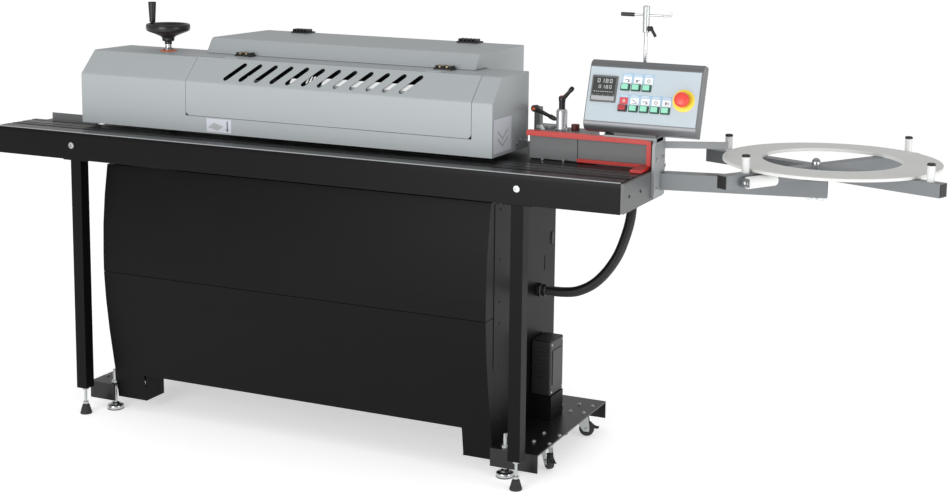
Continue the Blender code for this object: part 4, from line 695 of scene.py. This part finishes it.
mush = [(0.0, -0.0110), (0.0108, -0.0110), (0.0108, 0.0080), (0.0150, 0.0092), (0.0186, 0.0112), (0.0198, 0.0140), (0.0200, 0.0200), (0.0192, 0.0232), (0.0168, 0.0256), (0.0120, 0.0270),
        (0.0060, 0.0278), (0.0, 0.0280)]
put(oriented(lathe(mush, 48, (ESTOP_X, 0, ESTOP_T), (0, -1, 0)), PANEL_M), "estop_look", "estop", "estop_button", ("estop_button",), sharp=45)

def button_look(node, x, t, frame_mat, cap_mat):
    w, h = 0.0250, 0.0180
    base = box(x - w / 2, x + w / 2, -0.0046, 0.0044, t - h / 2, t + h / 2)
    put(oriented(base, PANEL_M), node + "_frame", frame_mat, node, (node,), bevel=0.0006)
    cap = prism([(x - w / 2 + 0.0020, t - h / 2 + 0.0032), (x + w / 2 - 0.0042, t - h / 2 + 0.0032), (x + w / 2 - 0.0042, t + h / 2 - 0.0008), (x - w / 2 + 0.0020, t + h / 2 - 0.0008)], "y", -0.0060, -0.0030)
    put(oriented(cap, PANEL_M), node + "_cap", cap_mat, node, bevel=0.0007)

def icon(x, t, kind, red=False):
    """Square sign above a button with a plain generic glyph, and a pale strip over it."""
    s, y0, y1 = 0.0235, -0.00065, -0.0003
    put(oriented(box(x - s / 2, x + s / 2, y0, y1, t + 0.0002, t + 0.0185), PANEL_M), "sign", "icon_red" if red else "icon", B, flat=True)
    put(oriented(box(x - s / 2 - 0.0028, x + s / 2 + 0.0028, y0 + 0.0002, y1, t - 0.0005, t + 0.0275), PANEL_M), "sign_strip", "caption", B, flat=True)
    for k in range(2):
        put(oriented(box(x - s / 2, x + s / 2 - 0.003 * k, y0 - 0.0001, y1, t + 0.0208 + 0.0030 * k, t + 0.0219 + 0.0030 * k), PANEL_M), "sign_rule", "icon", B, flat=True)
    ink = []
    yk0, yk1 = -0.0009, -0.0006
    c = t + 0.0092
    if kind == 0:
        put(oriented(lathe([(0.0022, -0.0001), (0.0036, -0.0001), (0.0036, 0.0002), (0.0022, 0.0002)], 24, (x, -0.0007, c), (0, 1, 0), closed=True), PANEL_M), "glyph_zero", "icon", B, flat=True)
        return
    if kind in (1, 2):
        ink.append(prism([(x - 0.007, c - 0.001), (x + 0.005, c + 0.0005), (x + 0.005, c + 0.0022), (x - 0.007, c + 0.0008)], "y", yk0, yk1))
        ink.append(lathe([(0.0026, 0.0), (0.0026, 0.0003)], 16, (x + (0.004 if kind == 1 else -0.003), yk0, c - 0.0030), (0, 1, 0)))
    elif kind == 3:
        ink.append(prism([(x - 0.007, c + 0.004), (x + 0.006, c - 0.005), (x + 0.007, c - 0.0035), (x - 0.006, c + 0.0055)], "y", yk0, yk1))
        ink.append(box(x - 0.0065, x + 0.0065, yk0, yk1, c - 0.0062, c - 0.0052))
    elif kind == 4:
        ink.append(lathe([(0.0030, 0.0), (0.0045, 0.0), (0.0045, 0.0003), (0.0030, 0.0003)], 20, (x, yk0, c), (0, 1, 0), closed=True))
    else:
        ink.append(prism([(x - 0.004, c - 0.005), (x + 0.004, c), (x - 0.004, c + 0.005)], "y", yk0, yk1))
        ink.append(box(x + 0.0048, x + 0.0058, yk0, yk1, c - 0.005, c + 0.005))
    put(oriented(merged(*ink), PANEL_M), "glyph", "icon_ink", B, flat=True)

for i, x in enumerate(BTN_TOP_X):
    button_look("button_top_%d" % (i + 1), x, BTN_TOP_T, "dgreen", "green")
    icon(x + 0.0035, BTN_TOP_T + 0.0106, (1, 2, 4)[i])
button_look("button_stop", BTN_LOW_X[0], BTN_LOW_T, "charcoal", "stopred")
icon(BTN_LOW_X[0] + 0.0010, BTN_LOW_T + 0.0106, 0, red=True)
for i, x in enumerate(BTN_LOW_X[1:]):
    button_look("button_low_%d" % (i + 1), x, BTN_LOW_T, "dgreen", "green")
    icon(x + 0.0010, BTN_LOW_T + 0.0106, (3, 1, 4, 5)[i])

# temperature controller: bezel, window, digits, keys
cx0, cx1, ct0, ct1 = 1.8405, 1.9125, 0.0622, 0.1342
put(oriented(box(cx0, cx1, -0.0050, -0.0004, ct0, ct1), PANEL_M), "controller_bezel", "endplate", B, ("temperature_controller",), bevel=0.0016, seg=3)
put(oriented(box(cx0 + 0.004, cx1 - 0.004, -0.0054, -0.0045, ct0 + 0.0215, ct1 - 0.005), PANEL_M), "controller_window", "charcoal", B, bevel=0.0002)
put(oriented(box(cx0 + 0.0035, cx1 - 0.0035, -0.0056, -0.0045, ct0 + 0.0045, ct0 + 0.0160), PANEL_M), "controller_strip", "strip", B, bevel=0.0002)
SEGS = {"0": "abcdef", "1": "bc", "2": "abged", "3": "abgcd", "4": "fgbc", "5": "afgcd", "6": "afgedc", "7": "abc", "8": "abcdefg", "9": "abcdfg"}
def digit(ch, x, t, w, h):
    th = w * 0.20
    seg = {"a": (0, w, h - th, h), "d": (0, w, 0, th), "g": (0, w, (h - th) / 2, (h + th) / 2), "f": (0, th, h / 2, h), "b": (w - th, w, h / 2, h), "e": (0, th, 0, h / 2), "c": (w - th, w, 0, h / 2)}
    return [box(x + a, x + b, -0.0057, -0.0053, t + c, t + d) for a, b, c, d in (seg[s] for s in SEGS[ch])]
dg = []
for i, ch in enumerate("0180"):
    dg += digit(ch, cx0 + 0.0165 + 0.0115 * i, ct0 + 0.0520, 0.0072, 0.0105)
for i, ch in enumerate("0180"):
    dg += digit(ch, cx0 + 0.0215 + 0.0100 * i, ct0 + 0.0365, 0.0060, 0.0090)
for i in range(9):
    dg.append(box(cx0 + 0.008 + 0.0064 * i, cx0 + 0.012 + 0.0064 * i, -0.0057, -0.0053, ct0 + 0.0270, ct0 + 0.0284))
put(oriented(merged(*dg), PANEL_M), "controller_digits", "digit", B, flat=True)
keys = [box(cx0 + 0.008 + 0.0148 * i, cx0 + 0.0185 + 0.0148 * i, -0.0062, -0.0050, ct0 + 0.0175, ct0 + 0.0205) for i in range(4)]
put(oriented(merged(*keys), PANEL_M), "controller_keys", "charcoal", B, bevel=0.0003)

# ------------------------------------------------------------------ tape tray
refined("tray_boom", "tube", 0.0030, 3)
put(oriented(box(0.0318, 0.0332, -0.0205, 0.0205, 0.8150, 0.8560), BOOM_M), "boom_cap", "bplas", B, bevel=0.0015)
# silver clamp post over the feed block
put(lathe([(0.0146, 0.9455), (0.0180, 0.9455), (0.0185, 0.9462), (0.0185, 0.9490), (0.0160, 0.9500), (0.0154, 0.9520), (0.0154, 0.9985), (0.0146, 1.0000), (0.0120, 1.0036), (0.0, 1.0038)], 40,
          (1.722, 0.300, 0)), "clamp_post_sleeve", "silver", B, sharp=30)
refined("tray_cross", "tube", 0.0016, 3)
CROSS = "tray_cross"
def along(ang, r, off=0.0):
    return (HUB_X + r * math.cos(ang) - off * math.sin(ang), HUB_Y + r * math.sin(ang) + off * math.cos(ang))
for ang, r in ((ARM_AD, -0.252), (ARM_AD, 0.358), (ARM_CB, -0.286), (ARM_CB, 0.338)):
    px, py = along(ang, r)
    put(lathe([(0.0, 0.0), (0.0102, 0.0), (0.0102, 0.0400), (0.0096, 0.0412), (0.0, 0.0412)], 32, (px, py, 0.8990)), "post_sleeve", "white", CROSS, sharp=35)
    put(lathe([(0.0, 0.0), (0.0105, 0.0), (0.0107, 0.0010), (0.0107, 0.0040), (0.0090, 0.0058), (0.0, 0.0062)], 32, (px, py, 0.9402)), "post_cap", "bplas", CROSS, sharp=35)
MA = Matrix.Translation((HUB_X, HUB_Y, 0)) @ Matrix.Rotation(ARM_AD, 4, "Z")
MB = Matrix.Translation((HUB_X, HUB_Y, 0)) @ Matrix.Rotation(ARM_CB, 4, "Z")
for MM, a, b in ((MA, -0.332, 0.385), (MB, -0.350, 0.374)):
    for e, s in ((a, -1), (b, 1)):
        put(oriented(box(min(e, e + s * 0.0012), max(e, e + s * 0.0012), -0.0162, 0.0162, 0.8653, 0.8977), MM), "arm_cap", "bplas", CROSS, bevel=0.0012)
ringp = [(RING_RI + 0.0008, RING_Z0), (RING_R - 0.0008, RING_Z0), (RING_R, RING_Z0 + 0.0008), (RING_R, RING_Z1 - 0.0010), (RING_R - 0.0010, RING_Z1), (RING_RI + 0.0010, RING_Z1), (RING_RI, RING_Z1 - 0.0010),
         (RING_RI, RING_Z0 + 0.0008)]
put(lathe(ringp, 144, (RING_X, RING_Y, 0), closed=True), "tray_ring_look", "ringw", "tray_ring", ("tray_ring",), sharp=30)
put(lathe([(RING_RI - 0.0001, RING_Z1 - 0.0020), (RING_RI + 0.0022, RING_Z1 - 0.0020), (RING_RI + 0.0022, RING_Z1 + 0.0006), (RING_RI - 0.0001, RING_Z1 + 0.0006)], 144, (RING_X, RING_Y, 0), closed=True),
    "ring_inner_lip", "white", "tray_ring", sharp=30)
off, rz, rr = 0.0345, 0.8805, 0.0155
rp = [(0.0, -0.2860), (0.0036, -0.2860), (0.0040, -0.2856), (0.0040, -0.2778), (0.0110, -0.2778), (0.0115, -0.2770), (0.0148, -0.2768), (0.0155, -0.2760), (0.0155, -0.1840), (0.0148, -0.1830), (0.0115, -0.1822),
      (0.0040, -0.1820), (0.0040, -0.1742), (0.0, -0.1740)]
put(oriented(lathe(rp, 36, (0, -off, rz), (1, 0, 0)), MA), "tray_roller_look", "white", "tray_roller", ("tray_roller",), sharp=32)
put(oriented(lathe([(0.0043, -0.2852), (0.0085, -0.2852), (0.0090, -0.2846), (0.0090, -0.2822), (0.0043, -0.2818)], 28, (0, -off, rz), (1, 0, 0), closed=True), MA), "roller_bearing", "chrome", CROSS, sharp=30)
put(lathe([(0.0062, 0.8582), (0.0225, 0.8582), (0.0230, 0.8588), (0.0230, 0.8632), (0.0225, 0.8638), (0.0062, 0.8638)], 36, (HUB_X, HUB_Y, 0), closed=True), "washer", "bplas", CROSS, sharp=30)
put(lathe([(0.0, 0.8988), (0.0120, 0.8988), (0.0120, 0.9060), (0.0095, 0.9100), (0.0065, 0.9148), (0.0, 0.9150)], 32, (HUB_X, HUB_Y, 0)), "hub_cap", "chrome", CROSS, sharp=35)
put(lathe([(0.0, 0.0), (0.0088, 0.0), (0.0096, 0.0006), (0.0096, 0.0066), (0.0, 0.0070)], 6, (HUB_X, HUB_Y, 0.8060)), "boom_nut", "zinc", CROSS, sharp=25)
for s in (-1, 1):
    wing = prism([(s * 0.004, 0.8070), (s * 0.018, 0.8010), (s * 0.024, 0.8030), (s * 0.024, 0.8100), (s * 0.016, 0.8125), (s * 0.004, 0.8125)], "y", -0.0016, 0.0016)
    put(oriented(wing, Matrix.Translation((HUB_X, HUB_Y, 0))), "wing", "zinc", CROSS, bevel=0.0006)

# ------------------------------------------------------------------ floor, light, camera
def plane(name, size, z, rgb):
    bm = bmesh.new()
    bmesh.ops.create_grid(bm, x_segments=1, y_segments=1, size=size)
    ob = from_bm(bm)
    ob.name = name
    ob.location = (0, 0, z)
    m = bpy.data.materials.new(name)
    m.use_nodes = True
    b = m.node_tree.nodes["Principled BSDF"]
    b.inputs["Base Color"].default_value = (*rgb, 1)
    b.inputs["Roughness"].default_value = 0.9
    b.inputs["Specular IOR Level"].default_value = 0.1
    b.inputs["Emission Color"].default_value = (1, 1, 1, 1)
    b.inputs["Emission Strength"].default_value = 0.50
    ob.data.materials.append(m)
    return ob
plane("floor", 30.0, -0.0004, (0.92, 0.92, 0.92))

scene = bpy.context.scene
world = bpy.data.worlds.new("studio")
scene.world = world
world.use_nodes = True
bg = world.node_tree.nodes["Background"]
bg.inputs["Color"].default_value = (1, 1, 1, 1)
bg.inputs["Strength"].default_value = 0.56

def area(name, loc, target, size, power, size_y=None):
    l = bpy.data.lights.new(name, "AREA")
    l.energy = power
    l.shape = "RECTANGLE"
    l.size = size
    l.size_y = size_y or size
    o = bpy.data.objects.new(name, l)
    scene.collection.objects.link(o)
    o.location = loc
    o.rotation_mode = "QUATERNION"
    o.rotation_quaternion = (Vector(target) - Vector(loc)).to_track_quat("-Z", "Y")
    return o
area("key", (-0.6, -4.6, 1.5), (0, 0, 0.8), 2.4, 96)
area("top", (0.4, 0.2, 3.6), (0, 0, 0.8), 3.2, 8, 2.0)
area("side", (4.2, -1.0, 1.2), (0.4, 0, 0.8), 1.8, 42)

cam_d = bpy.data.cameras.new("camera")
cam = bpy.data.objects.new("camera", cam_d)
scene.collection.objects.link(cam)
CAM_LOC = (1.9783, -4.0013, 1.5873)
YAW, PITCH, ROLL = 0.3977, -0.1475, 0.0185
F_PX, SX, SY = 1564.7, -0.0862, -0.1285
cam.location = CAM_LOC
cy, sy = math.cos(YAW), math.sin(YAW)
fwd = Vector((-sy * math.cos(PITCH), cy * math.cos(PITCH), math.sin(PITCH)))
r0 = Vector((cy, sy, 0.0))
u0 = r0.cross(fwd)
rt = math.cos(ROLL) * r0 + math.sin(ROLL) * u0
up = -math.sin(ROLL) * r0 + math.cos(ROLL) * u0
cam.rotation_mode = "QUATERNION"
cam.rotation_quaternion = Matrix((rt, up, -fwd)).transposed().to_quaternion()
cam_d.sensor_width = 36.0
cam_d.lens = F_PX * 36.0 / 951.0
cam_d.shift_x = SX
cam_d.shift_y = SY
cam_d.clip_start, cam_d.clip_end = 0.1, 100
scene.camera = cam
scene.view_settings.view_transform = "Standard"
scene.view_settings.look = "None"
